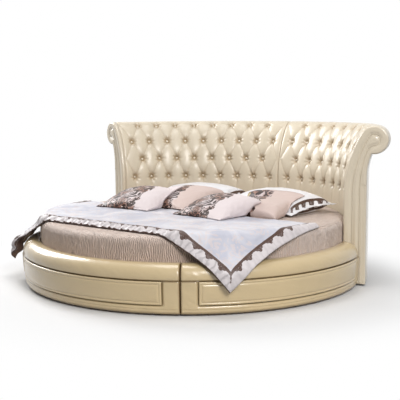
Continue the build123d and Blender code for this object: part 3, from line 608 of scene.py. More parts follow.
class BED_OT_buttons(Operator):
    """Covered buttons in the pits of the pads"""

    bl_idname = "bed.buttons"
    bl_label = "Covered buttons"

    def execute(self, context):
        board = Headboard()
        s = board.s
        bpy.ops.mesh.primitive_uv_sphere_add(segments=20, ring_count=12, radius=s.button_radius)
        blank = context.object
        for vertex in blank.data.vertices:
            vertex.co.z *= 0.62 if vertex.co.z > 0 else 0.45
        blank.data.shade_smooth()
        blank.data.materials.append(leather_finish("Button leather", colours().board_leather, 0.15))
        for side, sign in (("right", 1), ("left", -1)):
            bpy.ops.object.select_all(action="DESELECT")
            copies = []
            for row, shift, count in BUTTON_ROWS:
                point, away = board.front(board.low_run + row * s.row_spacing, BUTTON_SEAT)
                for column in range(count):
                    angle = sign * (180 - board.margin - (column + shift) * board.pitch)
                    turn = Vector(ring(away[0], angle, away[1])).to_track_quat("Z", "Y").to_matrix()
                    button = placed("button", blank.data.copy())
                    place = Matrix.Translation(ring(point[0], angle, point[1]))
                    button.data.transform(place @ turn.to_4x4())
                    button.select_set(True)
                    copies.append(button)
            context.view_layer.objects.active = copies[0]
            bpy.ops.object.join()
            group = context.object
            group.name = f"covered_buttons_{side}"
            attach(group, "root")
            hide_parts(f"headboard_buttons_{side}")
        bpy.data.objects.remove(blank)
        return {"FINISHED"}


class BED_OT_back_covers(Operator):
    """Plain leather backs of the headboard"""

    bl_idname = "bed.back_covers"
    bl_label = "Back covers"

    def execute(self, context):
        board = Headboard()
        s = board.s
        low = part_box("headboard_back_cover_right")[0].z
        end = 180 - board.back_turn
        radius, height = np.concatenate([
            points_of(board.back_radius, np.linspace(low, board.back[1], 60)),
            arc(board.back, s.back_flare_radius, 180, end, 26)[1:],
        ]).T
        inner = np.concatenate([
            arc(board.back, s.back_flare_radius + 0.007, end + 0.6, 180, 8),
            [(board.back_radius - 0.007, low)],
        ])
        a = np.linspace(board.first_angle, board.last_angle, 160)[:, None]
        rolls = [edge_roll(edge, 0.012, 0.005)
                 for edge in (board.from_ends(a, board.back_radius), height - low)]
        swell = 0.0012 * ripple(a * 0.2, height * 7, RNG_SEED + 2) - 0.001
        grid = np.concatenate([ring(radius + swell - rolls[0] - rolls[1], 180 - a, height),
                               ring(inner[:, 0], 180 - a, inner[:, 1])], axis=1)
        leather = leather_finish("Back leather", colours().board_leather, 0.3)
        board.halves("back_leather", grid, "headboard_back_cover", leather,
                     flip=False)
        return {"FINISHED"}


def rail_face(height):
    """Radius of a rail's leaning face at a height."""
    s = sizes()
    return s.rail_foot_radius + (s.rail_bulge_radius - s.rail_foot_radius) * height / (
        s.rail_height - s.roll_radius)


def rail_reach():
    """Angle from a rail's middle to the end of its panel."""
    s = sizes()
    return SEGMENT / 2 - degrees(s.panel_margin / s.rail_bulge_radius)


def rail_profile():
    """Points of a rail's cover from the bottom of its face over its roll to its lining, and the
    number of points up to the end of the foot, the face, the groove, the roll, the lip and the lining."""
    s = sizes()
    crest, top, foot_r = s.rail_bulge_radius - s.roll_radius, s.rail_height, s.rail_foot_radius
    seam = s.panel_high + 0.003
    face_z = np.linspace(0.026, seam - 0.004, 44)
    edge = rail_face(face_z[-1])
    parts = [
        [(foot_r - 0.009, 0.012), (foot_r - 0.003, 0.014), (foot_r, 0.020)],
        points_of(rail_face(face_z), face_z),
        [(edge - 0.007, seam - 0.001), (edge - 0.008, seam + 0.001),
         (edge - 0.001, seam + 0.004), (edge + 0.0022, seam + 0.010)],
        arc((crest, top - s.roll_radius), s.roll_radius, 4, 90, 30),
        [(crest - 0.015, top - 0.0005), (1.116, top - 0.003), (1.106, top - 0.006),
         (1.1022, top - 0.013), (1.102, top - 0.040), (1.102, 0.226)],
        [(1.1095, 0.226), (1.1095, 0.2583), (1.1983, 0.2583), (1.1983, 0.012)],
    ]
    return np.concatenate(parts), np.cumsum([len(part) for part in parts])


class BED_OT_rail_covers(Operator):
    """Padded leather covers of the rails"""

    bl_idname = "bed.rail_covers"
    bl_label = "Rail covers"

    def execute(self, context):
        s = sizes()
        bulge = s.rail_bulge_radius
        profile, (foot, face, _, roll, _, _) = rail_profile()
        radius, height = profile.T
        at = np.arange(len(profile))
        on_face, outer = (at >= foot) & (at < face), at < roll
        half = SEGMENT / 2 - degrees(SEAM_HALF / bulge)
        a = fine_ends(np.linspace(-half, half, 300), [0.001, 0.0025, 0.0045], bulge)[:, None]
        near = np.radians(half - np.abs(a)) * bulge
        past_end = np.radians(np.maximum(np.abs(a) - rail_reach(), 0)) * bulge
        past_side = np.maximum(np.maximum(s.panel_low - height, height - s.panel_high), 0)
        relief = 0.0130 * (1 - bell(np.hypot(past_end, past_side), 0.010)) - 0.009
        relief = relief - 0.0035 * bell(height - 0.040, 0.0035)
        low = ease((height - 0.012) / 0.03)
        skin = (relief * on_face * low - edge_roll(near, 0.014, 0.014) * outer
                + 0.0012 * ripple(a * 0.5, height * 30, RNG_SEED + 5) * outer)
        # Painted shade: the colour darkens in the groove under the roll, in the recess round the panel,
        # near the seams and towards the floor
        dark = np.where((at >= face - 1) & (at < face + 3), 0.8, 0)
        dark = np.maximum(dark, on_face * unit(-relief / 0.009) ** 2 * low)
        dark = np.maximum(dark, 1.4 * bell(near, 0.007) * outer)
        dark = unit(np.maximum(dark, 0.8 * ease((0.032 - height) / 0.02) * outer))
        tone = colours().leather
        leather = leather_finish("Rail leather", tone, 0.3, 0.8, shaded_leather_tone(tone, (0.34, 0.28, 0.21)))
        # The side rails round off towards the headboard
        end = np.radians(half - a) * bulge
        from_end = {"foot": 1.0, "right": end, "left": end[::-1]}
        for name, turn in RAIL_TURNS:
            drop = edge_roll(from_end[name], 0.065, 1) * outer
            r = radius + skin - 0.030 * drop * ease((height - 0.20) / 0.06)
            z = height - edge_roll(near, 0.014, 0.010) * (height > 0.25) * outer
            z = z - 0.034 * drop * ease((height - 0.22) / 0.07)
            cover = loft(f"rail_leather_{name}", ring(r, a + turn, z), f"{name}_rail_cover",
                         leather, flip=True)
            store_painted_shade(cover, dark)
        return {"FINISHED"}


def edged(low, high, count):
    """Places from low to high, close together near both."""
    edge = np.array([0, 0.0008, 0.002, 0.004, 0.007, 0.010, 0.013, 0.016, 0.019, 0.023])
    return np.concatenate([low + edge, np.linspace(low + 0.028, high - 0.028, count), (high - edge)[::-1]])


class BED_OT_rail_panels(Operator):
    """Raised padded panels on the rails"""

    bl_idname = "bed.rail_panels"
    bl_label = "Rail panels"

    def execute(self, context):
        s = sizes()
        low, high = s.panel_low, s.panel_high
        length = radians(rail_reach()) * s.rail_bulge_radius
        x, z = np.meshgrid(edged(-length, length, 190), edged(low, high, 15), indexing="ij")
        apart = np.minimum(length - np.abs(x), np.minimum(z - low, high - z))
        relief = (s.panel_proud - 0.003) * dome(apart / 0.007) - 0.0042 * bell(apart - 0.0165, 0.0042)
        crown = 0.0035 * unit(1 - ((z - (low + high) / 2) / 0.0715) ** 2)
        uneven = 0.0008 * ripple(x * 9, z * 40, RNG_SEED + 8)
        relief = relief + crown * ease(apart / 0.03) + uneven * ease(apart / 0.02)
        angle = np.degrees(x / s.rail_bulge_radius)
        leather = leather_finish("Panel leather", colours().leather, 0.3)
        # The half millimetre of wall between the two layers faces inwards here, unlike on the pillows
        for name, turn in RAIL_TURNS:
            layers = [ring(rail_face(z) + out, angle + turn, z) for out in (0.0008 + relief, 0.0003)]
            panel = new_piece(f"panel_leather_{name}", layers, slab_faces(*x.shape, walls_out=False),
                              f"{name}_rail_panel", leather)
        return {"FINISHED"}


# Facings

def resampled(points, step):
    """Points along a path, about a step apart."""
    points = np.asarray(points, float)
    run = runs_of(points)
    at = np.linspace(0, run[-1], max(2, int(round(run[-1] / step)) + 1))
    return points_of(np.interp(at, run, points[:, 0]), np.interp(at, run, points[:, 1]))


def beside(path, away):
    """Points at a distance to one side of a path."""
    along = np.gradient(path, axis=0)
    along = along / np.maximum(np.linalg.norm(along, axis=1), 1e-9)[:, None]
    return path + away * points_of(-along[:, 1], along[:, 0])


def inside(points, polygon):
    """Which points lie inside a closed polygon."""
    result = np.zeros(len(points), bool)
    x, y = points.T
    for (x0, y0), (x1, y1) in zip(polygon, np.roll(polygon, -1, axis=0)):
        crosses = (y0 > y) != (y1 > y)
        result ^= crosses & (x < (x1 - x0) * (y - y0) / (y1 - y0 + 1e-15) + x0)
    return result


def thinned(points, gap):
    """Points with none closer to an earlier one than a gap."""
    kept, grid = [], {}
    for p in points:
        i, j = int(p[0] // gap), int(p[1] // gap)
        near = [q for di in (-1, 0, 1) for dj in (-1, 0, 1) for q in grid.get((i + di, j + dj), ())]
        if all((p[0] - q[0]) ** 2 + (p[1] - q[1]) ** 2 >= gap * gap for q in near):
            kept.append(p)
            grid.setdefault((i, j), []).append(p)
    return np.array(kept)


def distance_to(points, path):
    """Distance from each point to a polyline."""
    best = np.full(len(points), 1e9)
    for p, q in zip(path[:-1], path[1:]):
        d = q - p
        t = unit(((points - p) @ d) / max(d @ d, 1e-12))
        best = np.minimum(best, np.linalg.norm(points - p - t[:, None] * d, axis=1))
    return best


def facing_lines(board):
    """Outline of the facing and the two grooves sewn into it."""
    s = board.s
    low, front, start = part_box("headboard_end_facing_right")[0].z, s.front_radius, s.flare_start
    border, right = 0.058, front + 0.107
    outline = np.concatenate([
        [(front, low), (front, start)],
        board.front_arc(0, 30)[1:],
        arc(board.scroll, s.scroll_radius, board.start, board.crease_angle, 60)[1:],
        arc(board.back, s.back_flare_radius, 180 - board.back_turn, 180, 18)[1:],
        [(board.back_radius, low)],
    ])
    tuck, neck = (np.add(board.scroll, np.multiply(shares, s.scroll_radius))
                  for shares in ((-0.33, -0.54), (-0.51, -0.85)))
    t = np.linspace(0, 1, 20)[:, None]
    back = (1 - t) ** 2 * neck + 2 * t * (1 - t) * (right, start + 0.16) + t**2 * (right, start)
    tongue = np.concatenate([
        [(front + border, low), (front + border, start)],
        board.front_arc(border, 30)[1:],
        arc(board.scroll, s.scroll_radius - border, board.start, -90, 30)[1:],
        [tuck], back, [(right, low)],
    ])
    return outline, tongue, [(board.back_radius - 0.016, low), (board.back_radius - 0.016, 0.690)]


class BED_OT_end_facings(Operator):
    """Scrolled facings at the outer ends of the headboard"""

    bl_idname = "bed.end_facings"
    bl_label = "End facings"

    def execute(self, context):
        board = Headboard()
        s = board.s
        outline, tongue, slot = facing_lines(board)
        closed_rim = resampled(np.concatenate([outline, outline[:1]]), 0.006)
        rim, line, pocket = closed_rim[:-1], resampled(tongue, 0.006), resampled(slot, 0.006)
        spots = [beside(path, away) for path in (line, pocket)
                 for away in (-0.0125, -0.0088, -0.0055, -0.0022, 0.0022, 0.0055, 0.0088, 0.0125)]
        spots += [beside(closed_rim, away) for away in (-0.014, -0.008, -0.0035, 0.0035, 0.008, 0.014)]
        (x0, z0), (x1, z1) = rim.min(0), rim.max(0)
        even = np.meshgrid(np.arange(x0, x1, 0.009), np.arange(z0, z1, 0.009))
        spots = np.concatenate([*spots, points_of(*even).reshape(-1, 2)])
        spots = spots[inside(spots, rim)]
        away = np.min([distance_to(spots, path) for path in (closed_rim, line, pocket)], axis=0)
        spots = thinned(spots[away > 0.0018], 0.0027)
        n, m = len(rim), len(rim) + len(line)
        edges = [(k, (k + 1) % n) for k in range(n)]
        edges += [(k, k + 1) for k in range(n, m + len(pocket) - 1) if k != m - 1]
        flat = [Vector(p) for p in np.concatenate([rim, line, pocket, spots])]
        verts, _, faces, _, _, _ = delaunay_2d_cdt(flat, edges, [], 1, 1e-6)
        used, corners = np.unique(faces, return_inverse=True)
        plane = np.array(verts)[used]
        faces = as_faces(corners.reshape(-1, 3))
        to_groove = np.minimum(distance_to(plane, line), distance_to(plane, pocket) + 0.001)
        bead = np.sqrt(unit(1 - ((to_groove - 0.0055) / 0.0055) ** 2))
        relief = 0.0015 + np.maximum(0.0100 * bead, 0.0130 * dome((to_groove - 0.009) / 0.010))
        relief = relief + 0.0004 * ripple(plane[:, 0] * 60, plane[:, 1] * 24, RNG_SEED + 3)
        relief = relief * dome(distance_to(plane, closed_rim) / 0.012)
        front_angle = SEGMENT - degrees(FACING_PLANE / s.front_radius)
        back_angle = board.last_angle + degrees(FACING_GAP / s.front_radius)
        base = ring(plane[:, 0], 180 - front_angle, plane[:, 1])
        across = ring(1, 270 - front_angle, 0)
        front = base - relief[:, None] * across
        back = base + plane[:, :1] * tan(radians(front_angle - back_angle)) * across
        count = len(plane)
        sides = dict.fromkeys((p, q) for f in faces for p, q in zip(f, f[1:] + f[:1]))
        solid = faces + [tuple(v + count for v in f[::-1]) for f in faces]
        solid += [(q, p, p + count, q + count) for p, q in sides if (q, p) not in sides]
        points = np.concatenate([front, back])
        leather = leather_finish("Facing leather", colours().board_leather, 0.2)
        for side, shape, turned in (("right", points, solid),
                                    ("left", mirrored(points), [f[::-1] for f in solid])):
            facing = new_piece(f"scroll_facing_{side}", shape, turned, f"headboard_end_facing_{side}",
                               leather)
        return {"FINISHED"}


# Bedding

def rib_bump(tree, place, chart):
    """Fine puckered ribs of the fitted cover, along its second chart direction."""
    shifted = split(tree, chart)[0] + cloud(tree, chart, 11, 3) * 0.042
    return calc("SINE", shifted * 500) * cloud(tree, chart, 60, 2)


def cover_colour(tree, place, chart):
    """Taupe cloth with painted shade, darker between its ribs."""
    tone = colours().cover
    ribs = remap(tree, rib_bump(tree, place, chart), -0.45, 0.45)
    return mix(tree, ribs, shade(tone, 0.74), tinted(tone, 0.86, 9)(tree, place, chart))


class BED_OT_mattress(Operator):
    """Mattress and its fitted cover"""

    bl_idname = "bed.mattress"
    bl_label = "Mattress and cover"

    def execute(self, context):
        s = sizes()
        ticking = finish_material(
            "Woven ticking", tinted((0.74, 0.71, 0.66), 0.93, 6), 0.8,
            [(cells(14), 0.006, 0.5), (noise(900, 2), 0.0004, 0.4)], Sheen_Weight=0.2,
        )
        cloth = finish_material(
            "Puckered cover cloth", cover_colour, 0.6,
            [(rib_bump, 0.006, 1.0), (noise(34), 0.006, 0.5), (noise(1500, 2), 0.0003, 0.3)],
            Sheen_Weight=0.35, Sheen_Roughness=0.4,
        )
        (_, _, low), (radius, _, top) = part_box("mattress")
        edge = s.mattress_edge - 0.003
        core = np.concatenate([
            [(0.001, low), (radius - 0.03, low), (radius - 0.006, low + 0.004), (radius, low + 0.014)],
            points_of(radius, np.linspace(low + 0.03, top - edge, 6)),
            arc((radius - edge, top - edge), edge, 10, 90, 8),
            [(0.5, top), (0.001, top)],
        ])
        grid = ring(core[:, :1], np.linspace(0, 360, 145)[:-1], core[:, 1:])
        loft("round_mattress", grid, "mattress", ticking)

        r0, z0, z1, e = s.mattress_radius, s.mattress_bottom, s.mattress_top, s.mattress_edge
        skin = np.concatenate([
            points_of(np.linspace(0.02, 0.9, 30), z1),
            points_of(np.linspace(0.92, r0 - e, 14), z1),
            arc((r0 - e, z1 - e), e, 90, 0, 14)[1:],
            points_of(r0, np.linspace(z1 - e - 0.006, z0 + 0.02, 26)),
            [(r0 - 0.002, z0 + 0.008), (r0 - 0.009, z0 + 0.0015), (r0 - 0.03, z0), (r0 - TURN_UNDER, z0)],
        ])
        a, z, run = np.linspace(0, 360, 481)[:-1], skin[:, 1:], runs_of(skin)[:, None]
        side = ease((run - (r0 - e - 0.03)) / 0.09)
        pucker = 0.6 * np.sin(np.radians(a) * 96 + 3 * np.sin(np.radians(a) * 7) + 9 * z)
        pucker = pucker + ripple(a * 0.9, z * 40, RNG_SEED + 4)
        bulge = 0.004 * np.sin(np.pi * unit((z - z0) / (z1 - z0))) * side
        out = (0.0016 * pucker - 0.0016) * side * ease((z - z0 + 0.001) / 0.03) + bulge
        lumps = 0.0008 * ripple(a * 0.3, run * 22, RNG_SEED + 6) * (1 - side)
        grid = ring(skin[:, :1] + out, a, z + lumps)
        rows, columns = grid.shape[:2]
        middle = rows * columns
        points = np.concatenate([grid.reshape(-1, 3), [(0, 0, z1)]])
        faces = strip_faces(rows, columns, True, flip=True)
        faces += [(j, (j + 1) % columns, middle) for j in range(columns)]
        # The chart is the plan on top, and the way round and the way down on the side
        runs, turns = np.append(np.repeat(run, columns), 0), np.append(np.tile(a, rows), 0)
        chart = []
        for f in faces:
            around = [turns[v] for v in f]
            wraps = max(around) - min(around) > 180
            if max(runs[v] for v in f) < r0 - e / 2:
                chart += [points[v][:2] for v in f]
            else:
                chart += [(radians(turns[v] + 360 * (wraps and turns[v] < 180)) * r0, runs[v])
                          for v in f]
        cover = new_piece("ribbed_cover", points, faces, "fitted_cover", cloth, chart)
        thicken(cover, 0.0015)
        return {"FINISHED"}


def lace_mask(tree, chart, line_at, reach, period):
    """Share of lace at a point: fans that point outwards from a line near an edge."""
    along, deep, _ = split(tree, chart)
    phase = calc("FRACT", along / period) - 0.5
    drop = line_at - deep
    near = calc("SUBTRACT", 1.0, abs(phase) * 2.3, clamp=True)
    leaves = abs(calc("SINE", phase * 19)) * 0.14
    rim = calc("MULTIPLY_ADD", near**1.25 * 0.86 + leaves, reach, 0.006) - drop
    threads = cell_distance(tree, chart, 95, "DISTANCE_TO_EDGE") < 0.14
    cloth = calc("MAXIMUM", calc("MAXIMUM", threads, rim < 0.005), 0.80)
    band = abs(drop - 0.002) < 0.0085
    return calc("MAXIMUM", (rim > 0.0) * (drop > 0.0) * cloth, band)


def duvet_colour(tree, place, chart):
    """Satin with faint sprays, a lace line, and a border with painted shade: dark stripes between its
    gathers, and darker at the foot.
    """
    c = colours()
    along, deep, _ = split(tree, chart)
    sprays = (cloud(tree, place, 13, 3, 3.5) > 0.515) * (cloud(tree, place, 2.6, 2, 1.6) > 0.475)
    sheen = remap(tree, cloud(tree, place, 4.5, 3, 0.8), 0.40, 0.60)
    satin = mix(tree, sheen, shade(c.duvet, (0.81, 0.825, 0.885)), shade(c.duvet, 1.06))
    field = mix(tree, sprays * 0.42, satin, (0.64, 0.52, 0.47))
    at_foot = along > FOOT_CHART / 2
    # Painted shade of the border's gathers, stronger at the foot edge
    gather_shade = calc("SINE", calc("MULTIPLY_ADD", cloud(tree, chart, 26, 2), 9.0, along * 150))
    gather_shade = remap(tree, gather_shade, -0.2, 1.0, 0.55)
    sides = mix(tree, gather_shade * 0.3, c.border, shade(c.border, 0.5))
    border = mix(tree, at_foot, sides, mix(tree, gather_shade, c.border, shade(c.border, 0.45)))
    lace = lace_mask(tree, chart, LACE_LINE, LACE_REACH, 0.100)
    dark = calc("MAXIMUM", (deep < 0.0060) * at_foot, lace)
    return mix(tree, dark, mix(tree, deep < LACE_LINE, field, border), c.lace)


class BED_OT_duvet(Operator):
    """Duvet across the foot half, with corners that fall over the rails"""

    bl_idname = "bed.duvet"
    bl_label = "Duvet"

    def edge_distance(self, x, y):
        """Distances to the duvet's left or right edge and to its foot edge."""
        s = sizes()
        return np.minimum(s.duvet_half_width + x, s.duvet_right - x), y + s.duvet_foot

    def path(self, run, thickness):
        """Radius and height at a run past the mattress top: round the mattress edge, straight over
        to the rail's roll, round the roll and down."""
        s = sizes()
        edge = (s.mattress_radius - s.mattress_edge, s.mattress_top - s.mattress_edge)
        crest = (s.rail_bulge_radius - s.roll_radius, s.rail_height - s.roll_radius)
        rim_r, roll_r = s.mattress_edge + 0.002, s.roll_radius + 0.012
        dx, dz = crest[0] - edge[0], crest[1] - edge[1]
        span = hypot(dx, dz)
        leave = atan2(dz, dx) + acos((rim_r - roll_r) / span)
        rim_run, roll_run = rim_r * (pi / 2 - leave), roll_r * leave
        bridge = sqrt(span**2 - (rim_r - roll_r) ** 2)
        past = run - rim_run - bridge
        turn = np.where(run <= rim_run, pi / 2 - np.maximum(run, 0) / rim_r,
                        leave - np.clip(past, 0, roll_run) / roll_r)
        share = unit((run - rim_run) / bridge)
        reach = rim_r + share * (roll_r - rim_r) + thickness
        return (edge[0] + share * dx + reach * np.cos(turn),
                edge[1] + share * dz + reach * np.sin(turn) - np.maximum(past - roll_run, 0))

    def execute(self, context):
        s = sizes()
        gx, gy = np.meshgrid(np.linspace(-s.duvet_half_width, s.duvet_right, 262),
                             np.linspace(-s.duvet_foot, -s.duvet_head, 108), indexing="ij")
        radius, angle = np.hypot(gx, gy), np.degrees(np.arctan2(gx, -gy))
        run = radius - s.mattress_radius + s.mattress_edge
        side, foot = self.edge_distance(gx, gy)
        away = np.abs(angle) - degrees(atan2(s.duvet_half_width, s.duvet_foot))
        # Folds of the hanging corners
        bunch = 0.014 * waves(away * 62 + 30) - 0.006 * waves(away * 125)
        flare = np.where(gx < 0, 0.046 * (1 - ease((away + 2) / 9)) + bunch, 0.012 * bell(away, 13))
        wave = 0.5 * waves(away * 13) + 0.5 * waves(away * 29 + 40)
        fold = flare * ease((run - 0.09) / 0.20) + unit(run / 0.36) ** 2 * (0.012 * wave + 0.010)
        fold = fold + 0.002 * ripple(gx * 9, gy * 9, RNG_SEED + 9) * ease(run / 0.1)
        # Filling, gathered at the foot edge
        rise = (1 - (1 - unit(foot / 0.088)) ** 2) ** 0.62 * (1 - 0.22 * bell(foot - 0.097, 0.007))
        rise = rise * (1 - 0.25 * ease((foot - 0.09) / 0.12))
        slip = ripple(gx * 13, foot * 20, RNG_SEED + 13)
        ruffle = 0.7 * np.cos(2 * np.pi * gx / 0.062 + 4.5 * slip)
        ruffle = ruffle + 0.5 * np.cos(2 * np.pi * gx / 0.037 + 5 * slip + 1)
        ruffle = ruffle * unit(foot / 0.010) * (1 - ease((foot - 0.055) / 0.025))
        body = (1 - 0.65 * ease(run / 0.10)) * (1 - 0.5 * ease((gy + 0.5) / 0.4))
        seam_pull = 0.007 * np.abs(np.sin(np.pi * gy / 0.06)) * np.sin(np.pi * unit(side / 0.085))
        thick = 0.0085 + (0.027 * rise + 0.0075 * ruffle) * body + seam_pull
        # Lie of the top
        drape = waves(away * 26 + 20) + 0.6 * waves(away * 47 + 80)
        drape = drape * bell(away, 22) * ease((radius - 0.60) / 0.35)
        crumple = 0.0040 * ripple(gx * 9, gy * 6, RNG_SEED + 10) + 0.0045 * drape
        crumple = crumple + 0.0016 * ripple(gx * 27, gy * 31, RNG_SEED + 12)
        crumple = crumple * ease((foot - 0.02) / 0.1) * ease((0.02 - run) / 0.08)
        out_r, out_z = self.path(run, thick)
        grid = ring(np.where(run <= 0, radius, out_r + fold), angle,
                    np.where(run <= 0, s.mattress_top + thick, out_z) + crumple)
        faces = strip_faces(*gx.shape, flip=True)
        # The chart runs along the nearest edge and in from it, the foot edge's part apart
        x, y = gx.ravel()[faces], gy.ravel()[faces]
        side, foot = self.edge_distance(x, y)
        mid_side, mid_foot = self.edge_distance(x.mean(1), y.mean(1))
        chart = np.where((mid_foot < mid_side)[:, None, None],
                         points_of(x + FOOT_CHART, foot), points_of(y + 0.047, side))
        cloth = finish_material(
            "Duvet satin", duvet_colour, 0.42,
            [(noise(5), 0.03, 0.8), (noise(22), 0.006, 0.5), (noise(70), 0.0012, 0.25)],
            Sheen_Weight=0.15, Sheen_Roughness=0.35, Specular_IOR_Level=0.35,
        )
        lining = finish_material("Duvet lining", tinted((0.17, 0.105, 0.085), 0.7, 12), 0.5,
                                 [(noise(40), 0.002, 0.3)], Sheen_Weight=0.2)
        duvet = new_piece("lace_edged_duvet", grid, faces, "duvet", cloth, chart)
        duvet.data.materials.append(lining)
        thicken(duvet, 0.006).material_offset = 1
        return {"FINISHED"}


def printed(tone, limit):
    """Plain satin with a scrollwork end on its left, up to a limit across."""
    def make(tree, place, chart):
        across, along, _ = split(tree, chart)
        end = across + (cloud(tree, chart, 17, 2) * 0.11 + along * 0.12) < limit
        lines = calc("SINE", cloud(tree, chart, 8.5, 1, 1.7) * 36) > -0.15
        bud = cell_distance(tree, chart, 6.5)
        share = remap(tree, cloud(tree, chart, 7, 1), 0.4, 0.6)
        ground = mix(tree, share, (0.28, 0.15, 0.11), shade(colours().pale_satin, 0.95))
        worked = mix(tree, lines, ground, (0.030, 0.013, 0.009))
        worked = mix(tree, bud < 0.20, worked, (0.36, 0.27, 0.13))
        worked = mix(tree, abs(bud - 0.24) < 0.045, worked, (0.028, 0.014, 0.011))
        return mix(tree, end, tone, worked)
    return make


def flanged(tone):
    """Plain satin with a line of lace where the flange starts."""
    return lambda tree, place, chart: mix(
        tree, lace_mask(tree, chart, 0.064, LACE_REACH, 0.075), tone, colours().lace)


def with_flange(layer, width, seed):
    """Grid of points with a flat flange of a width added round its edge."""
    grid = np.pad(layer, ((2, 2), (2, 2), (0, 0)), mode="edge")
    reach = width * np.array([1.0, 0.5])
    grid[:2, :, 0] -= reach[:, None]
    grid[-2:, :, 0] += reach[::-1, None]
    grid[:, :2, 1] -= reach
    grid[:, -2:, 1] += reach[::-1]
    wave = 0.005 * ripple(grid[..., 0] * 22, grid[..., 1] * 22, seed + 40)
    wave[2:-2, 2:-2] = layer[..., 2]
    grid[..., 2] = wave
    return grid


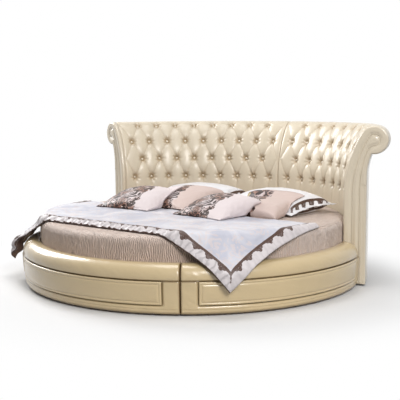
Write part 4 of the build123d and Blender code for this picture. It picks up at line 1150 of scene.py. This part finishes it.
class BED_OT_pillows(Operator):
    """Pillows and cushions in a row against the headboard"""

    bl_idname = "bed.pillows"
    bl_label = "Pillows"

    def blown_up(self, points, flat, faces):
        """Points of a case after air is blown into it, its cloth being cut to a flat shape."""
        scene = bpy.context.scene
        mesh = bpy.data.meshes.new("ticking")
        mesh.from_pydata([tuple(p) for p in points], [], faces)
        case = placed("ticking", mesh)
        case.shape_key_add(name="Basis")
        cut = case.shape_key_add(name="Cut flat")
        cut.value = 0
        cut.data.foreach_set("co", flat.ravel())
        cloth = case.modifiers.new("Cloth", "CLOTH")
        for key, value in dict(
            rest_shape_key=cut, quality=6, mass=0.3, air_damping=2, tension_stiffness=15,
            compression_stiffness=15, shear_stiffness=5, bending_stiffness=0.3, use_pressure=True,
            uniform_pressure_force=3,
        ).items():
            setattr(cloth.settings, key, value)
        cloth.settings.effector_weights.gravity = 0
        cloth.collision_settings.use_collision = False
        cloth.point_cache.frame_start, cloth.point_cache.frame_end = 1, CLOTH_FRAMES
        for frame_number in range(1, CLOTH_FRAMES + 1):
            scene.frame_set(frame_number)
        shaped = case.evaluated_get(bpy.context.evaluated_depsgraph_get()).data
        moved = np.zeros(points.size)
        shaped.vertices.foreach_get("co", moved)
        bpy.data.objects.remove(case)
        bpy.data.meshes.remove(mesh)
        scene.frame_set(1)
        return moved.reshape(-1, 3)

    def plumped(self, width, height, thick, seed):
        """Shares of a grid over a pillow, and its upper and lower layers as points."""
        gu, gv = np.meshgrid(*(np.linspace(-1, 1, int(length / PILLOW_GRID) + 1)
                               for length in (width, height)), indexing="ij")
        drawn, fullness, round_off, uneven = (
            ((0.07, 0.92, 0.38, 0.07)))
        x = width / 2 * gu * (1 - drawn * (1 - gv**2))
        y = height / 2 * gv * (1 - (drawn + 0.01) * (1 - gu**2))
        z = thick / 2 * fullness * unit((1 - gu**2) * (1 - gv**2)) ** round_off
        z = z * (1 + uneven * ripple(gu * 5, gv * 5, seed + 20))
        upper = points_of(x, y, z).reshape(-1, 3)
        flat = points_of(0.52 * width * gu, 0.52 * height * gv, 0).reshape(-1, 3)
        # The lower layer shares the border's points, its other points following after the upper ones
        inner = np.zeros(gu.shape, bool)
        inner[1:-1, 1:-1] = True
        inner = inner.ravel()
        twin = np.arange(gu.size)
        twin[inner] = gu.size + np.arange(inner.sum())
        both = np.concatenate([upper, upper[inner] * (1, 1, -1)])
        faces = strip_faces(*gu.shape, flip=True) + as_faces(twin[np.array(strip_faces(*gu.shape))])
        shift = self.blown_up(both, np.concatenate([flat, flat[inner]]), faces) - both
        shift -= shift.mean(0)
        length = np.linalg.norm(shift, axis=1)[:, None]
        moved = both + shift * np.minimum(1, 0.030 / np.maximum(length, 1e-9))
        blunt = (1 - 0.075 * (gu * gv) ** 4).ravel()
        moved[:, :2] *= np.concatenate([blunt, blunt[inner]])[:, None]
        low, high = moved.min(0), moved.max(0)
        moved = (moved - (low + high) / 2) * (width, height, thick) / (high - low)
        return gu, gv, [moved[ids].reshape(*gu.shape, 3) for ids in (np.arange(gu.size), twin)]

    def lift(self, points, resting, shape):
        """How far each point has to rise to lie on the bed and the pillows, evened out over a grid."""
        s = sizes()
        surface = s.mattress_top + np.where(points[:, 1] < 0.01 - s.duvet_head, 0.0250, 0.0035)
        for tree in resting:
            for k, (x, y, _) in enumerate(points):
                hit = tree.ray_cast(Vector((x, y, 2.0)), Vector((0, 0, -1)))[0]
                if hit is not None:
                    surface[k] = max(surface[k], hit.z + 0.003)
        lift = np.maximum(surface - points[:, 2], 0).reshape(shape)
        for _ in range(6):
            spread = np.pad(lift, 1, mode="edge")
            spread = (spread[:-2, 1:-1] + spread[2:, 1:-1] + spread[1:-1, :-2] + spread[1:-1, 2:]) / 4
            lift = np.maximum(lift, spread * 0.97)
        return lift.ravel()

    def execute(self, context):
        s, c = sizes(), colours()
        wrinkles = [(noise(9), 0.018, 0.6), (noise(30), 0.0040, 0.4), (noise(60, 2), 0.0014, 0.25)]
        finishes = {
            "white_satin": finish_material("White satin", flanged(c.white_satin), 0.42, wrinkles,
                                           Sheen_Weight=0.3, Sheen_Roughness=0.3),
            "peach_satin": finish_material("Rosy satin", printed(c.peach_satin, 0.075), 0.40, wrinkles,
                                           Sheen_Weight=0.08, Specular_IOR_Level=0.25),
            "print_satin": finish_material("Printed satin", printed(c.pale_satin, 0.135), 0.44, wrinkles,
                                           Sheen_Weight=0.08, Specular_IOR_Level=0.22),
        }
        resting = []
        for number, (name, ((width, height, thick), place, slot)) in enumerate(PILLOWS.items()):
            flange = FLANGE if slot == "white_satin" else 0.0
            body = (width - 2 * flange, height - 2 * flange)
            gu, gv, form = self.plumped(*body, thick, number)
            plan = points_of(gu * body[0] / 2, gv * body[1] / 2, 0.0)
            if flange:
                plan, *form = (with_flange(layer, flange, number) for layer in (plan, *form))
            px, py = plan[..., 0], plan[..., 1]
            sag = (0.034 if flange else 0.009) * ((2 * px / width) ** 2 + (2 * py / height) ** 2) / 2
            for layer, half in zip(form, (0.0013, -0.0013)):
                layer[..., 2] += half - sag
            across, along, rise, turn, tilt = place
            middle = (across * s.mattress_radius, along * s.mattress_radius, s.mattress_top + rise * 0.250)
            turn, tilt = (Matrix.Rotation(radians(by), 3, axis)
                          for by, axis in ((turn, "Z"), (tilt, "X")))
            world = np.reshape(form, (-1, 3)) @ np.array(turn @ tilt).T + middle
            upper, lower = world[:px.size], world[px.size:]
            lower[:, 2] += self.lift(lower, resting, px.shape)
            upper[:, 2] = np.maximum(upper[:, 2], lower[:, 2] + 0.0026)
            faces = slab_faces(*px.shape)
            corners = np.array(faces) % px.size
            x, y = px.ravel()[corners], py.ravel()[corners]
            chart = points_of(x, y)
            if flange:
                by_side = width / 2 - np.abs(x.mean(1)) < height / 2 - np.abs(y.mean(1))
                chart = np.where(by_side[:, None, None], points_of(y, width / 2 - np.abs(x)),
                                 points_of(x, 0.3 + height / 2 - np.abs(y)))
            piece_name = name.replace("pillow", "bed_pillow").replace("cushion", "bed_cushion")
            pillow = new_piece(piece_name, world, faces, name, finishes[slot], chart)
            resting.append(BVHTree.FromPolygons([Vector(p) for p in world], faces))
        return {"FINISHED"}


class BED_OT_stage(Operator):
    """Floor, light and camera"""

    bl_idname = "bed.stage"
    bl_label = "Stage"

    def seen_rays(self, tree, *kinds):
        """1 for rays of one of the kinds."""
        first, *others = (Value(add(tree, "LightPath").outputs[f"Is {kind} Ray"]) for kind in kinds)
        for other in others:
            first = calc("MAXIMUM", first, other)
        return first

    def floor_finish(self):
        """Pale floor that takes the bed's shadow and goes over into a white background."""
        material = finish_material("Plain floor", tinted((0.685, 0.685, 0.69), 0.995, 1), 0.8)
        tree = material.node_tree
        place = add(tree, "TexCoord").outputs["Object"]
        far = Value(add(tree, "VectorMath", {"operation": "LENGTH"}, _0=place).outputs["Value"])
        behind = calc("MAXIMUM", calc("MINIMUM", split(tree, place)[1], 1.2), 0.0)
        share = add(tree, "MapRange", {"interpolation_type": "SMOOTHSTEP"},
                    Value=calc("MULTIPLY_ADD", behind, 0.28, far), From_Min=1.25, From_Max=2.2).outputs[0]
        seen = self.seen_rays(tree, "Camera", "Glossy")
        white = add(tree, "Emission", Color=(1, 1, 1), Strength=seen)
        mixed = add(tree, "MixShader", _0=share, _1=tree.nodes["Principled BSDF"].outputs[0],
                    _2=white.outputs[0])
        feed(tree.nodes["Material Output"].inputs["Surface"], mixed.outputs[0])
        return material

    def execute(self, context):
        scene = context.scene
        bpy.ops.mesh.primitive_plane_add(size=60)
        floor = context.object
        floor.name = "floor"
        floor.data.materials.append(self.floor_finish())

        # White to the camera and in reflections, dimmer as a light
        scene.world = bpy.data.worlds.new("Plain light")
        scene.world.use_nodes = True
        tree = scene.world.node_tree
        dim, white = (add(tree, "Background", Color=(1, 1, 1), Strength=strength).outputs[0]
                      for strength in (0.265, 1.0))
        mixed = add(tree, "MixShader", _0=self.seen_rays(tree, "Camera", "Glossy", "Transmission"),
                    _1=dim, _2=white)
        feed(tree.nodes["World Output"].inputs["Surface"], mixed.outputs[0])

        for name, place, power, width in (
            ("key light", (4.5, -2.9, 3.3), 235, 2.0),
            ("left light", (-4.4, 0.2, 3.1), 205, 2.2),
            ("top light", (0.2, -0.3, 4.6), 80, 2.4),
        ):
            light = bpy.data.lights.new(name, "AREA")
            light.energy, light.size = power, width
            lamp = placed(name, light)
            lamp.location = place
            lamp.rotation_euler = (Vector((0, 0, 0.4)) - lamp.location).to_track_quat("-Z", "Y").to_euler()

        view = bpy.data.cameras.new("camera")
        view.sensor_width, view.lens, view.clip_end = 36.0, 73.585, 100
        camera = placed("camera", view)
        turn, dip, roll = 0.68498, 0.11888, -0.00733
        forward = Vector((-sin(turn), cos(turn), -tan(dip))).normalized()
        right = forward.cross(Vector((0, 0, 1))).normalized()
        upright = Matrix((right, right.cross(forward), -forward)).transposed()
        axes = upright @ Matrix.Rotation(roll, 3, "Z")
        camera.matrix_world = Matrix.Translation((3.8093, -4.5790, 1.2666)) @ axes.to_4x4()
        scene.camera = camera
        scene.view_settings.view_transform = "Standard"
        return {"FINISHED"}


OPERATORS = (
    BED_OT_frame_finishes, BED_OT_tufted_pads, BED_OT_buttons, BED_OT_back_covers,
    BED_OT_rail_covers, BED_OT_rail_panels, BED_OT_end_facings, BED_OT_mattress,
    BED_OT_duvet, BED_OT_pillows, BED_OT_stage,
)


class BED_PT_panel(Panel):
    """Pieces of the round bed"""

    bl_idname = "BED_PT_panel"
    bl_label = "Round Bed"
    bl_space_type = "VIEW_3D"
    bl_region_type = "UI"
    bl_category = "Round Bed"

    def draw(self, context):
        for operator in OPERATORS:
            self.layout.operator(operator.bl_idname)


CLASSES = (BedSizes, BedColours, *OPERATORS, BED_PT_panel)


def register():
    for cls in CLASSES:
        bpy.utils.register_class(cls)
    bpy.types.Scene.bed_sizes = PointerProperty(type=BedSizes)
    bpy.types.Scene.bed_colours = PointerProperty(type=BedColours)


def unregister():
    del bpy.types.Scene.bed_sizes
    del bpy.types.Scene.bed_colours
    for cls in reversed(CLASSES):
        bpy.utils.unregister_class(cls)


def main():
    register()
    for operator in OPERATORS:
        group, action = operator.bl_idname.split(".")
        getattr(getattr(bpy.ops, group), action)()


if __name__ == "__main__":
    main()
